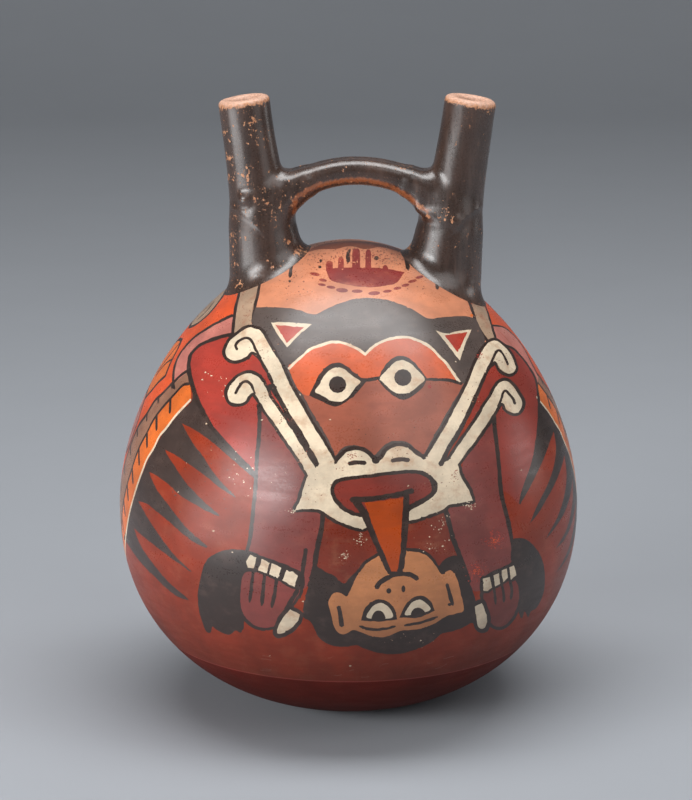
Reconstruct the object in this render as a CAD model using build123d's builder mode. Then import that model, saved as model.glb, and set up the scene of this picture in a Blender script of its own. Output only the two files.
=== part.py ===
"""Double spout and bridge bottle: a round earthenware chamber with two spouts joined by an arched bridge.

The pieces are the ones that the potter shapes and lutes together before firing: a drawn bowl, a coiled
shoulder wall, the disc that closes the crown, two spouts with a collar of clay round each foot, and a
bridge with a band of luting clay round each end. A thin film of slip lies in every joint.

Millimetres. The origin is on the table under the middle of the foot, +Z is up and the painted front
faces -Y. The spouts stand side by side along X.
"""

import os
from math import asin, atan, cos, radians, sin, tan

from build123d import *

# Chamber
GIRTH_RADIUS = 75.0  # outside, at the widest line
GIRTH_HEIGHT = 65.4  # the widest line above the table
CROWN_HEIGHT = 152.0  # the top of the dome above the table
FOOT_RADIUS = 17.8  # the flattened patch that the bottle stands on
SHOULDER_POWER = 1.82  # below 2 the shoulders slope more than an ellipse's
BASE_POWER = 2.2  # above 2 the base is fuller than an ellipse
WALL = 5.0
FLOOR = 7.0  # thickness under the middle of the chamber

# Joints between the chamber's pieces
SLIP_FILM = 0.15  # gap that the luting slip fills in every joint
GIRTH_BEVEL = 4.0  # rise of the bevelled rim across the wall
DISC_RADIUS = 11.0  # outside radius of the closing disc
DISC_TAPER = 3.0  # the disc narrows by this much through the wall

# Spouts
RIM_RISE = 47.4  # middle of each mouth above the top of the dome
RIM_SPREAD = 73.0  # between the middles of the two mouths
RIM_SHIFT = 2.8  # the pair stands this far to the right of the chamber's axis
RIM_RADIUS = 8.05
LEFT_LEAN = 7.9  # degrees, outwards
RIGHT_LEAN = 8.6
NECK_RADIUS = 8.3
NECK_DROP = 20.0  # below the rim, along the spout
HEEL_RADIUS = 11.4  # where the spout's axis meets the dome
BORE_RADIUS = 4.5
LIP_ROUND = 1.7
LIP_LIMIT = 0.45  # the rounding is at most this share of the wall at the mouth
SPIGOT_RADIUS = 8.0  # the stub that goes through the shoulder wall

# Collars at the feet of the spouts
COLLAR_RISE = 12.5  # upper edge above the dome, along the spout
COLLAR_LIP = 0.45  # thickness of the upper edge
COLLAR_WAIST_RISE = 6.0  # where the side starts to flare
COLLAR_WAIST = 0.7  # thickness there
COLLAR_SINK = 4.0  # the flare aims this far below the dome's surface
COLLAR_RADIUS = 15.2  # radius of the flare down there

# Bridge
BRIDGE_RISE = 16.7  # from the higher foot to where the arch would meet the axes of the spouts
ARCH_RISE = 14.4  # from there to the middle of the strap at the top of the arch
STRAP_WIDTH = 11.6  # front to back, at the top of the arch
STRAP_THICKNESS = 7.2
STRAP_END_WIDTH = 13.6
STRAP_END_THICKNESS = 9.6
STRAP_ROUND = 0.42  # corner radius, as a share of the thickness

# Luting bands round the ends of the bridge
BAND_LENGTH = 6.0  # along the bridge, from the spout's side
BAND_LIP = 0.5  # thickness of the edge on the bridge
BAND_SPREAD = 1.3  # thickness against the spout

# Shared geometry
CURVE_POINTS = 9
FOOT_ROUNDS = 30  # rounds of the search for the point where a spout's axis meets the dome
SIDES = {"left": -1, "right": 1}
dome_rise = CROWN_HEIGHT - GIRTH_HEIGHT
base_depth = GIRTH_HEIGHT / (1 - (FOOT_RADIUS / GIRTH_RADIUS) ** BASE_POWER) ** (1 / BASE_POWER)
rim_height = CROWN_HEIGHT + RIM_RISE
os.makedirs("parts", exist_ok=True)


def chamber_section(radius, rise, depth, cut_depth):
    """Half section of a round chamber, its dome and its bowl both parts of superellipses."""
    last = asin((cut_depth / depth) ** (BASE_POWER / 2))
    dome_power = 2 / SHOULDER_POWER
    bowl_power = 2 / BASE_POWER
    dome_points = []
    bowl_points = []
    for i in range(CURVE_POINTS):
        share = i / (CURVE_POINTS - 1)
        a = radians(90 * share)
        b = last * share
        dome_points.append((radius * cos(a) ** dome_power, GIRTH_HEIGHT + rise * sin(a) ** dome_power))
        bowl_points.append((radius * cos(b) ** bowl_power, GIRTH_HEIGHT - depth * sin(b) ** bowl_power))
    end_run = radius * cos(last) ** (bowl_power - 1) * sin(last)
    end_fall = depth * sin(last) ** (bowl_power - 1) * cos(last)
    with BuildSketch() as section:
        with BuildLine():
            dome = Spline(*dome_points, tangents=[(0, 1), (-1, 0)])
            bowl = Spline(*bowl_points, tangents=[(0, -1), (-end_run, -end_fall)])
            Polyline(bowl @ 1, (0, GIRTH_HEIGHT - cut_depth), dome @ 1)
        make_face()
    return section.sketch


def round_solid(section):
    """The solid that a half section makes when it is turned about the chamber's axis."""
    with BuildPart() as solid:
        with BuildSketch(Plane.YZ):
            add(section)
        revolve(axis=Axis.Z)
    return solid.part


def wall_section(zone):
    """Half section of the chamber's wall inside a zone of (radius, height) corners."""
    with BuildSketch() as section:
        add(chamber_section(GIRTH_RADIUS, dome_rise, base_depth, GIRTH_HEIGHT))
        add(hollow_section, mode=Mode.SUBTRACT)
        with BuildLine():
            Polyline(*zone, close=True)
        make_face(mode=Mode.INTERSECT)
    return section.sketch


def girth_joint(radius):
    """Height of the bevelled joint between the bowl and the shoulder wall."""
    return GIRTH_HEIGHT + (GIRTH_RADIUS - WALL / 2 - radius) * GIRTH_BEVEL / WALL


def disc_seat(height):
    """Radius of the tapered seat of the closing disc."""
    return DISC_RADIUS + (height - CROWN_HEIGHT) * DISC_TAPER / WALL


def spout_lean(side):
    """Angle between a spout's axis and upright."""
    return radians(LEFT_LEAN if side < 0 else RIGHT_LEAN)


def tilted_plane(middle, side, tilt):
    """Plane whose z axis leans outwards from upright by a tilt, towards a side."""
    across = (cos(tilt), 0, -side * sin(tilt))
    return Plane(origin=middle, x_dir=across, z_dir=(side * sin(tilt), 0, cos(tilt)))


def mouth_plane(side):
    """Plane of a spout's mouth, its z axis pointing out of the spout."""
    return tilted_plane((side * RIM_SPREAD / 2 + RIM_SHIFT, 0, rim_height), side, spout_lean(side))


def axis_point(side, drop):
    """Point of a spout's axis at a distance below its mouth."""
    return mouth_plane(side).from_local_coords((0, 0, -drop))


def foot_drop(side):
    """Distance along a spout's axis from its mouth to the dome."""
    drop = RIM_RISE
    for _ in range(FOOT_ROUNDS):
        reach = abs(axis_point(side, drop).X) / GIRTH_RADIUS
        height = GIRTH_HEIGHT + dome_rise * (1 - reach**SHOULDER_POWER) ** (1 / SHOULDER_POWER)
        drop = (rim_height - height) / cos(spout_lean(side))
    return drop


def foot_tilt(side):
    """Angle of the dome's outward normal from upright where a spout's axis meets it."""
    reach = abs(axis_point(side, foot_drop(side)).X) / GIRTH_RADIUS
    fall = reach ** (SHOULDER_POWER - 1) * (1 - reach**SHOULDER_POWER) ** (1 / SHOULDER_POWER - 1)
    return atan(dome_rise / GIRTH_RADIUS * fall)


def tube_side(side):
    """Slope and bend of a spout's side, whose radius is RIM_RADIUS + slope * drop + bend * drop ** 2."""
    foot = foot_drop(side)
    neck_slope = (NECK_RADIUS - RIM_RADIUS) / NECK_DROP
    bend = ((HEEL_RADIUS - RIM_RADIUS) / foot - neck_slope) / (foot - NECK_DROP)
    return neck_slope - bend * NECK_DROP, bend


def tube_radius(side, drop):
    """Outside radius of a spout at a distance below its mouth."""
    slope, bend = tube_side(side)
    return RIM_RADIUS + slope * drop + bend * drop**2


def spout_tube(side, margin):
    """A spout's outside as a solid rod that runs down into the dome, with a margin all round."""
    mouth = mouth_plane(side)
    foot = foot_drop(side)
    slope, _ = tube_side(side)
    rim = (RIM_RADIUS + margin, 0)
    pull = (RIM_RADIUS + margin + slope * foot / 2, -foot / 2)
    heel = (HEEL_RADIUS + margin, -foot)
    end = -foot - 2 * HEEL_RADIUS
    with BuildPart() as tube:
        with BuildSketch(Plane(mouth.origin, x_dir=mouth.x_dir, z_dir=-mouth.y_dir)):
            with BuildLine():
                Bezier(rim, pull, heel)
                Polyline(heel, (heel[0], end), (0, end), (0, 0), rim)
            make_face()
        revolve(axis=Axis(mouth.origin, mouth.z_dir))
    return tube.part


def strap_plane(turn):
    """Plane across the bridge at an angle from the top of its arch, its y axis pointing outwards."""
    fall = arch_radius * (1 - cos(turn))
    middle = (RIM_SHIFT + arch_radius * sin(turn), 0, arch_end + ARCH_RISE - fall)
    return Plane(origin=middle, x_dir=(0, 1, 0), z_dir=(cos(turn), 0, -sin(turn)))


def strap_size(turn, margin):
    """Width, thickness and corner radius of the bridge at an angle, with a margin all round."""
    growth = (turn / arch_half_angle) ** 2
    width = STRAP_WIDTH + (STRAP_END_WIDTH - STRAP_WIDTH) * growth + 2 * margin
    thickness = STRAP_THICKNESS + (STRAP_END_THICKNESS - STRAP_THICKNESS) * growth + 2 * margin
    return width, thickness, STRAP_ROUND * thickness


def strap(stations):
    """A bent strap through (angle, margin) stations along the arch."""
    with BuildPart() as solid:
        for turn, margin in stations:
            with BuildSketch(strap_plane(turn)):
                RectangleRounded(*strap_size(turn, margin))
        loft()
    return solid.part


hollow_depth = GIRTH_HEIGHT - FLOOR
hollow_section = chamber_section(GIRTH_RADIUS - WALL, dome_rise - WALL, hollow_depth, hollow_depth)
hollow = round_solid(hollow_section)
dome_outside = round_solid(
    chamber_section(GIRTH_RADIUS + SLIP_FILM, dome_rise + SLIP_FILM, base_depth, GIRTH_HEIGHT)
)

# Base bowl, its rim bevelled up towards the inside
beyond = 2 * GIRTH_RADIUS
with BuildPart() as base_bowl:
    with BuildSketch(Plane.YZ):
        add(
            wall_section(
                [
                    (0, -FLOOR),
                    (beyond, girth_joint(beyond) - FLOOR),
                    (beyond, girth_joint(beyond)),
                    (0, girth_joint(0)),
                ]
            )
        )
    revolve(axis=Axis.Z)
base_bowl.part.label = "base_bowl"
export_step(base_bowl.part, "parts/base_bowl.step")

# Shoulder wall, which sits on the bevel, with a tapered seat in the crown and a hole for each spout
seat_low = CROWN_HEIGHT - 2 * WALL
seat_high = CROWN_HEIGHT + 2 * WALL
with BuildPart() as shoulder_wall:
    with BuildSketch(Plane.YZ):
        add(
            wall_section(
                [
                    (0, girth_joint(0) + SLIP_FILM),
                    (beyond, girth_joint(beyond) + SLIP_FILM),
                    (beyond, seat_high),
                    (disc_seat(seat_high) + SLIP_FILM, seat_high),
                    (disc_seat(seat_low) + SLIP_FILM, seat_low),
                ]
            )
        )
    revolve(axis=Axis.Z)
    for side in SIDES.values():
        with Locations(mouth_plane(side)):
            Hole(SPIGOT_RADIUS + SLIP_FILM)
shoulder_wall.part.label = "shoulder_wall"
export_step(shoulder_wall.part, "parts/shoulder_wall.step")

# Disc that closes the crown
with BuildPart() as crown_disc:
    with BuildSketch(Plane.YZ):
        add(
            wall_section(
                [
                    (0, seat_low),
                    (disc_seat(seat_low), seat_low),
                    (disc_seat(seat_high), seat_high),
                    (0, seat_high),
                ]
            )
        )
    revolve(axis=Axis.Z)
crown_disc.part.label = "crown_disc"
export_step(crown_disc.part, "parts/crown_disc.step")

# Spouts, each with a spigot through the wall, flush with the chamber's inside
for name, side in SIDES.items():
    rod = spout_tube(side, 0)
    with BuildPart() as spout:
        add(rod)
        add(dome_outside, mode=Mode.SUBTRACT)
        with BuildSketch(mouth_plane(side).offset(-NECK_DROP)):
            Circle(SPIGOT_RADIUS)
        extrude(amount=-(foot_drop(side) - NECK_DROP) - 2 * HEEL_RADIUS)
        add(hollow, mode=Mode.SUBTRACT)
        with Locations(mouth_plane(side)):
            Hole(BORE_RADIUS)
        rim_edges = spout.edges().filter_by(GeomType.CIRCLE).sort_by(Axis.Z)[-2:]
        fillet(rim_edges, min(LIP_ROUND, LIP_LIMIT * (RIM_RADIUS - BORE_RADIUS)))
    spout.part.label = f"{name}_spout"
    export_step(spout.part, f"parts/{name}_spout.step")

# Collars of clay round the feet of the spouts
for name, side in SIDES.items():
    rod = spout_tube(side, SLIP_FILM)
    foot = foot_drop(side)
    edge_drop = foot - COLLAR_RISE
    waist_drop = foot - COLLAR_WAIST_RISE
    waist_tilt = (spout_lean(side) + foot_tilt(side)) / 2
    with BuildPart() as collar:
        with BuildSketch(tilted_plane(axis_point(side, edge_drop), side, spout_lean(side))):
            Circle(tube_radius(side, edge_drop) + COLLAR_LIP)
        with BuildSketch(tilted_plane(axis_point(side, waist_drop), side, waist_tilt)):
            Circle(tube_radius(side, waist_drop) + COLLAR_WAIST)
        with BuildSketch(tilted_plane(axis_point(side, foot + COLLAR_SINK), side, foot_tilt(side))):
            Circle(COLLAR_RADIUS)
        loft()
        add(dome_outside, mode=Mode.SUBTRACT)
        add(rod, mode=Mode.SUBTRACT)
    collar.part.label = f"{name}_spout_collar"
    export_step(collar.part, f"parts/{name}_spout_collar.step")

# Bridge, an arched strap cut to the round of the two spouts, its place taken from their feet
arch_end = max(axis_point(side, foot_drop(side)).Z for side in SIDES.values()) + BRIDGE_RISE
mean_lean = radians((LEFT_LEAN + RIGHT_LEAN) / 2)
arch_half_span = RIM_SPREAD / 2 - (rim_height - arch_end) * tan(mean_lean)
arch_radius = (arch_half_span**2 + ARCH_RISE**2) / (2 * ARCH_RISE)
arch_half_angle = asin(arch_half_span / arch_radius)
stations = [-1, -0.55, 0, 0.55, 1]
rods = [spout_tube(side, SLIP_FILM) for side in SIDES.values()]
arch = strap([(share * arch_half_angle, 0) for share in stations])
with BuildPart() as bridge:
    add(arch)
    for rod in rods:
        add(rod, mode=Mode.SUBTRACT)
bridge.part.label = "bridge"
export_step(bridge.part, "parts/bridge.step")

# Bands of luting clay round the ends of the bridge
arch_clear = strap([(share * arch_half_angle, SLIP_FILM) for share in stations])
for (name, side), rod in zip(SIDES.items(), rods):
    end_drop = (rim_height - arch_end) / cos(spout_lean(side))
    touch = asin((arch_half_span - tube_radius(side, end_drop)) / arch_radius)
    edge = touch - BAND_LENGTH / arch_radius
    band_solid = strap(
        [(side * edge, BAND_LIP), (side * touch, BAND_SPREAD), (side * arch_half_angle, BAND_SPREAD)]
    )
    with BuildPart() as bridge_lute:
        add(band_solid)
        add(arch_clear, mode=Mode.SUBTRACT)
        add(rod, mode=Mode.SUBTRACT)
    bridge_lute.part.label = f"{name}_bridge_lute"
    export_step(bridge_lute.part, f"parts/{name}_bridge_lute.step")
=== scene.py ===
"""Looks of the double spout bottle: a slip-painted chamber under black burnished spouts and a bridge.

The painting is drawn as outlines laid on the chamber through the photograph's camera, so points named
"pixels" are (column, row) in a 692 x 800 image and "round" points are (degrees from the front, height).
Lengths are millimetres until a mesh is made.
"""

import math

import bpy
import numpy as np
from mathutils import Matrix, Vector, kdtree
from mathutils.geometry import delaunay_2d_cdt


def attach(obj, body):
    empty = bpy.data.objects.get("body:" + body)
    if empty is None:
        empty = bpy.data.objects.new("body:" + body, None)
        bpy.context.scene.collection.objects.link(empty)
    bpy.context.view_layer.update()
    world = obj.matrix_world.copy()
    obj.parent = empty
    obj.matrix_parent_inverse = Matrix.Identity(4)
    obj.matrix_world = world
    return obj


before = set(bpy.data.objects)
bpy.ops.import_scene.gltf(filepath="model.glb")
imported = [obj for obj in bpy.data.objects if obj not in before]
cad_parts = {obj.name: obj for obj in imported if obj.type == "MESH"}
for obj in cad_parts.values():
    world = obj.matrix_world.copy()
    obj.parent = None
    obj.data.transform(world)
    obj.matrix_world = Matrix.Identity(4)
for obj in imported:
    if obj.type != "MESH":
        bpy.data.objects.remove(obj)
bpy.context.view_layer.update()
MM = 0.001

# Chamber and spouts, as in the CAD
GIRTH_RADIUS, GIRTH_HEIGHT, DOME_RISE, FOOT_RADIUS = 75.0, 65.4, 86.6, 17.8
SHOULDER_POWER, BASE_POWER = 1.82, 2.2
MERIDIAN_STEPS, CROWN_GAP = 4000, 2e-4
BASE_DEPTH = GIRTH_HEIGHT / (1 - (FOOT_RADIUS / GIRTH_RADIUS) ** BASE_POWER) ** (1 / BASE_POWER)
RIM_HEIGHT, RIM_SPREAD, RIM_SHIFT = 199.4, 73.0, 2.8
RIM_RADIUS, NECK_RADIUS, NECK_DROP, HEEL_RADIUS, BORE_RADIUS = 8.05, 8.3, 20.0, 11.4, 4.5
LEAN = {-1: math.radians(7.9), 1: math.radians(8.6)}
FOOT_DROP = {-1: 55.1, 1: 57.8}
ARCH_TOP, ARCH_END = 175.9, 161.5
STRAP_WIDTH, STRAP_THICKNESS, STRAP_END_WIDTH, STRAP_END_THICKNESS = 11.6, 7.2, 13.6, 9.6
STRAP_ROUND = 0.42
BAND_LENGTH, BAND_LIP, BAND_SPREAD = 6.0, 0.5, 1.3

# Camera, fitted to the photograph's outlines
FOCAL, DISTANCE, TILT, TARGET = 3356.0, 1100.0, math.radians(14), 99.7
AXIS_COLUMN, MIDDLE_ROW, MIDDLE_COLUMN = 348.5, 400.0, 346.0
SENSOR, LONG_SIDE = 36.0, 800.0
REACH_NEAR, REACH_FAR, REACH_STEPS, HALVINGS = 990, 1160, 120, 24

# Painted film on the chamber
FILM_OUT, FILM_IN = 0.34, 0.12
GRID_STEP, GRID_CLEAR = 2.3, 1.0
CURVE_STEP = 1.4
RAGGED, CHIP_SHARE, CHIP_DEPTH = 0.22, 0.035, 1.2
ROUND_STEP, INNER_STEP, RING_SPACING, DISC_STEP = 0.7, 5.0, 0.87, 0.5
LINE_SQUARE, BRUSH_WAVER, BRUSH_TAPER, STROKE_NOSE, DAB_CORNERS = 0.5, 0.13, 4, 0.7, 12
EDGE_WIDTH, THUMB_EDGE, NAIL_EDGE = 6.4, 8.4, 5.0
HAND_WAVES = [(0.23, 1.7), (0.61, 2.9), (0.113, 4.1)]
CHART_MERGE, WINDING_BLOCK = 0.01, 4000000
FOOT_EDGE, HOLE_RADIUS, HOLE_PULLS, HOLE_SLOPE = 0.7, 12.6, 12, 0.2
CROWN_LIFT, CROWN_SPAN = 0.3, (8, 24)

# Coat on the spouts and the bridge. A waver is its depth, its size and its seed
COAT, COLLAR_COAT, COAT_IN_BORE, COAT_SKIN = 0.27, 0.85, 0.15, 0.14
LIP_BLEND, STRAP_BLEND, FOOT_BLEND = 2.0, 4.4, 6.5
COAT_DIVE, COAT_HIDDEN, COAT_PULLS, SLOPE_LEAST = 0.3, -0.12, 4, 0.05
BORE_COAT, BORE_KEPT, BORE_SKIN, BORE_END, BORE_BLEND = 9.0, 6.2, 6.3, 30.0, 1.0
LUTE_SPOUT, BAND_OVER, BAND_EASE, COLLAR_SPAN = 9.2, 0.12, 0.09, (24, 13)
STRAP_RIDGE, RIDGES = 0.3, [(-3.2, 1.3), (3.6, 1.5)]
RUB_WIDTH, RUB_STEP = 2.6, 2.0
LEFT_WEAR, RIGHT_WEAR, REAR_WEAR, REAR_FACING = 0.2, 0.12, 0.2, 0.3
SPOUT_NEAR, NOT_NEAR, BARE_INSIDE, BARE_OUTSIDE = 14, 99, 5.0, 1.6
STRAP_WAVER, TUBE_WAVER = (0.12, 4.5, 1.0), (0.1, 6.0, 4.0)
LIP_WAVER, SMEAR_WAVER = (0.12, 3.0, 2.0), (0.25, 1.6, 3.0)
SMEAR_BLEND = 3.0
SMEARS = [((-24, -5.6, 172), (-33.4, -7.9, 168), 1.0), ((23, -6.0, 164.5), (34, -8.6, 160.8), 1.1)]
WORN_SPOTS = [
    (222, 111, 4, 0.5), (225, 133, 4, 0.5), (228, 158, 4, 0.6), (229, 178, 4, 0.6), (231, 198, 4, 0.5),
    (233, 215, 4, 0.5), (233, 235, 4, 0.5), (235, 264, 4, 0.6), (239, 284, 5, 0.6), (255, 119, 5, 0.55),
    (256, 137, 4, 0.5), (249, 121, 4, 0.5), (267, 139, 4, 0.5), (249, 168, 5, 0.6), (245, 176, 5, 0.6),
    (248, 182, 4, 0.6), (265, 186, 4, 0.5), (253, 198, 5, 0.45), (273, 221, 5, 0.45), (288, 243, 6, 0.6),
    (298, 252, 6, 0.7), (304, 251, 5, 0.7), (420, 206, 4, 0.6), (428, 214, 5, 0.5), (441, 219, 5, 0.5),
    (453, 221, 4, 0.45), (445, 212, 5, 0.5), (461, 115, 5, 0.4), (455, 141, 4, 0.4), (484, 178, 4, 0.5),
    (453, 194, 4, 0.4), (408, 247, 5, 0.6), (479, 231, 4, 0.4), (482, 285, 5, 0.4), (262, 105, 3, 0.5),
    (490, 112, 3, 0.4),
]
WORN_EDGE = [
    (294, 212), (296, 199), (303, 193), (314, 187), (324, 184), (335, 181.5), (350, 180), (363, 180),
    (374, 181.5), (384, 184), (394, 188.5), (404, 194), (412, 200), (420, 207), (427, 211),
]
COAT_LOW, COAT_HIGH, COAT_STEP = (-52, -19, 128), (60, 19, 203), 0.7

# Slips on the chamber: colour, colour under it, share flaked off, and how far the colour under stains it
SLIPS = {
    "base": ((126, 38, 27), (150, 84, 60), 0.08, 0.12),
    "body": ((141, 51, 28), (190, 120, 90), 0.0, 0.12),
    "crown": ((200, 130, 97), (176, 104, 72), 0.0, 0.3),
    "vermilion": ((214, 84, 40), (150, 60, 44), 0.0, 0.15),
    "tan": ((168, 140, 116), (150, 84, 60), 0.0, 0.5),
    "umber": ((146, 104, 82), (120, 60, 44), 0.0, 0.3),
    "band": ((216, 108, 44), (120, 60, 44), 0.0, 0.2),
    "black": ((52, 39, 34), (104, 82, 74), 0.0, 0.3),
    # Greyer black for the head's cap: worn slip, lightened a little more as painted sheen
    "cap": ((80, 68, 63), (112, 94, 86), 0.0, 0.3),
    # A lighter black for the left wing: partly worn scuffs, partly painted sheen of the lit side
    "wing": ((63, 49, 44), (98, 78, 70), 0.0, 0.3),
    # A darker brown for the crown top near the bridge and the spouts' feet
    "crown_dark": ((128, 72, 52), (110, 60, 46), 0.0, 0.3),
    "cream": ((220, 201, 174), (182, 134, 98), 0.0, 0.55),
    "lobe": ((162, 58, 47), (120, 50, 40), 0.0, 0.12),
    # A darker copy of the lobe slip: painted shade for the figure's right, less lit side
    "deep": ((142, 52, 40), (110, 40, 34), 0.0, 0.12),
    "pink": ((186, 112, 100), (214, 150, 130), 0.0, 0.3),
    "arm": ((126, 58, 52), (180, 110, 90), 0.0, 0.12),
    "hand": ((118, 46, 36), (180, 110, 90), 0.0, 0.12),
    "chest": ((121, 43, 24), (200, 150, 110), 0.0, 0.12),
    "tongue": ((168, 66, 14), (120, 50, 40), 0.0, 0.12),
    "trophy": ((190, 124, 80), (150, 84, 60), 0.0, 0.2),
    "maroon": ((128, 48, 44), (214, 130, 96), 0.13, 0.3),
    "ear": ((176, 60, 44), (214, 140, 100), 0.0, 0.12),
    "brow": ((200, 92, 54), (150, 60, 44), 0.0, 0.15),
    "cheek": ((152, 84, 64), (110, 50, 44), 0.0, 0.25),
    "mouth": ((124, 48, 38), (90, 40, 36), 0.0, 0.12),
}
BASE_SLOT = list(SLIPS).index("base")
# Painted shade: each slip is darkened towards the foot over a span of heights in metres, and made rougher
# over the same span
FOOT_SHADE, FOOT_DULL, PAINTED_SHADE, SHADE_AND_DULL_SPAN = 0.66, 0.4, (38, 9, 3), (0.012, 0.060)
SLIP_SHEEN, LOW_SHEEN = 0.64, {"slip_base": 0.2, "slip_body": 0.42}
COAT_SHEEN, CLAY_SHEEN, FLOOR_SHEEN = 1.0, 0.3, 0.2

# Black slip, the clay that shows through it, and the floor
BLACK, CLAY, MOUTH_CLAY = (61, 45, 38), (214, 150, 112), (208, 162, 137)
RUBBED, FLOOR = (158, 92, 54), (160, 164, 170)
CHIP_DARK, CHIP_PALE = (176, 112, 74), (212, 150, 104)

# Noise in the materials: steps for each millimetre along x, y and z, detail, roughness and warp
SLIP_CLOUD = ((0.06, 0.06, 0.06), 4.0, 0.6)
SLIP_STREAK = ((0.08, 0.08, 0.4), 3.0, 0.55, 0.4)
SLIP_GRAIN = ((1.6, 1.6, 1.6), 2.0, 0.6)
SLIP_PATCH = ((0.09, 0.09, 0.09), 3.0, 0.6)
SLIP_CHIP = ((0.75, 0.75, 0.75), 3.0, 0.62)
SLIP_SMUDGE = ((0.16, 0.16, 0.22), 4.0, 0.66)
CLAY_CLOUD = ((0.08, 0.08, 0.08), 4.0, 0.6)
CLAY_GRAIN = ((2.2, 2.2, 2.2), 3.0, 0.7)
COAT_CLOUD = ((0.07, 0.07, 0.05), 4.0, 0.6)
COAT_STREAK = ((0.5, 0.5, 0.06), 3.0, 0.6, 0.3)
COAT_GRAIN = ((1.5, 1.5, 1.5), 3.0, 0.6)
COAT_CHIP = ((0.8, 0.8, 0.65), 4.0, 0.65)
COAT_PATCH = ((0.07, 0.07, 0.07), 3.0, 0.6)
COAT_SPECK = ((1.9, 1.9, 1.6), 2.0, 0.5)
FLOOR_CLOUD = ((0.02, 0.02, 0.02), 3.0, 0.55)


def smooth(low, high, x):
    """0 below low, 1 above high, and an even curve between."""
    t = np.clip((x - low) / (high - low), 0, 1)
    return t * t * (3 - 2 * t)


# The chamber's meridian, from the crown to the foot, and its conformal chart
def meridian():
    """Radius and height along the chamber's outside."""
    a = np.linspace(math.pi / 2 - CROWN_GAP, 0, MERIDIAN_STEPS)
    last = math.asin((GIRTH_HEIGHT / BASE_DEPTH) ** (BASE_POWER / 2))
    b = np.linspace(0, last, MERIDIAN_STEPS)[1:]
    p, q = 2 / SHOULDER_POWER, 2 / BASE_POWER
    r = np.concatenate([GIRTH_RADIUS * np.cos(a) ** p, GIRTH_RADIUS * np.cos(b) ** q])
    dome, bowl = GIRTH_HEIGHT + DOME_RISE * np.sin(a) ** p, GIRTH_HEIGHT - BASE_DEPTH * np.sin(b) ** q
    return r, np.concatenate([dome, bowl])


def gauge(radius, height):
    """Distance-like field of the chamber's outside, with its slopes by radius and height."""
    z = height - GIRTH_HEIGHT
    power = np.where(z > 0, SHOULDER_POWER, BASE_POWER)
    depth = np.where(z > 0, DOME_RISE, BASE_DEPTH)
    u, v = np.maximum(radius, 1e-6) / GIRTH_RADIUS, np.abs(z) / depth + 1e-9
    size = (u**power + v**power) ** (1 / power)
    slope_r = (u / size) ** (power - 1) / GIRTH_RADIUS
    slope_z = np.sign(z) * (v / size) ** (power - 1) / depth
    steep = np.hypot(slope_r, slope_z)
    return (size - 1) / steep, slope_r / steep, slope_z / steep


def gauge_at(points):
    """The same field and slopes at points."""
    return gauge(np.hypot(points[..., 0], points[..., 1]), points[..., 2])


line_r, line_z = meridian()
line_step = np.hypot(np.diff(line_r), np.diff(line_z))
line_run = np.concatenate([[0], np.cumsum(line_step)])
line_log = np.log(line_r[0]) + np.concatenate([[0], np.cumsum(line_step * 2 / (line_r[1:] + line_r[:-1]))])
line_turn = np.arctan2(line_z - GIRTH_HEIGHT, line_r)


def to_chart(points):
    """Chart place of points near the chamber."""
    radius = np.hypot(points[:, 0], points[:, 1])
    turn = np.arctan2(points[:, 2] - GIRTH_HEIGHT, radius)
    rho = np.exp(np.interp(-turn, -line_turn, line_log))
    angle = np.arctan2(points[:, 0], -points[:, 1])
    return np.stack([rho * np.sin(angle), -rho * np.cos(angle)], 1)


def from_chart(chart):
    """Points on the chamber, their outward normals and the chart's scale there."""
    rho = np.maximum(np.hypot(chart[:, 0], chart[:, 1]), 1e-9)
    log_rho = np.log(rho)
    r, z = np.interp(log_rho, line_log, line_r), np.interp(log_rho, line_log, line_z)
    r = np.where(rho < line_r[0], rho, r)
    sine, cosine = chart[:, 0] / rho, chart[:, 1] / rho
    _, slope_r, slope_z = gauge(r, z)
    points = np.stack([r * sine, r * cosine, z], 1)
    normals = np.stack([slope_r * sine, slope_r * cosine, slope_z], 1)
    return points, normals, rho / np.maximum(r, 1e-6)


EYE = np.array([0, -DISTANCE * math.cos(TILT), TARGET + DISTANCE * math.sin(TILT)])
AHEAD = np.array([0, math.cos(TILT), -math.sin(TILT)])
UPWARD = np.array([0, math.sin(TILT), math.cos(TILT)])


def to_pixels(points):
    """Columns and rows at which the photograph's camera sees points."""
    away = (points - EYE) @ AHEAD
    return AXIS_COLUMN + FOCAL * points[:, 0] / away, MIDDLE_ROW - FOCAL * ((points - EYE) @ UPWARD) / away


def from_pixels(pixels):
    """Points on the chamber that the photograph's camera sees at these pixels."""
    pixels = np.asarray(pixels, float)
    across = (pixels[:, :1] - AXIS_COLUMN) / FOCAL
    rise = (MIDDLE_ROW - pixels[:, 1:]) / FOCAL
    rays = AHEAD + across * np.array([1.0, 0, 0]) + rise * UPWARD
    reach = np.linspace(REACH_NEAR, REACH_FAR, REACH_STEPS)
    field = gauge_at(EYE + rays[:, None, :] * reach[None, :, None])[0]
    inside = field < 0
    first = np.where(inside.any(1), inside.argmax(1), field.argmin(1))
    near, far = reach[np.maximum(first - 1, 0)], reach[first]
    for _ in range(HALVINGS):
        middle = (near + far) / 2
        hit = gauge_at(EYE + rays * middle[:, None])[0] < 0
        far, near = np.where(hit, middle, far), np.where(hit, near, middle)
    return EYE + rays * far[:, None]


def facing(points):
    """How squarely the photograph's camera sees points on the chamber, from 0 at its outline to 1."""
    radius = np.maximum(np.hypot(points[:, 0], points[:, 1]), 1e-6)
    _, slope_r, slope_z = gauge(radius, points[:, 2])
    normals = np.stack([slope_r * points[:, 0] / radius, slope_r * points[:, 1] / radius, slope_z], 1)
    look = EYE - points
    return np.maximum((normals * look).sum(1) / np.linalg.norm(look, axis=1), 0)


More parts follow.
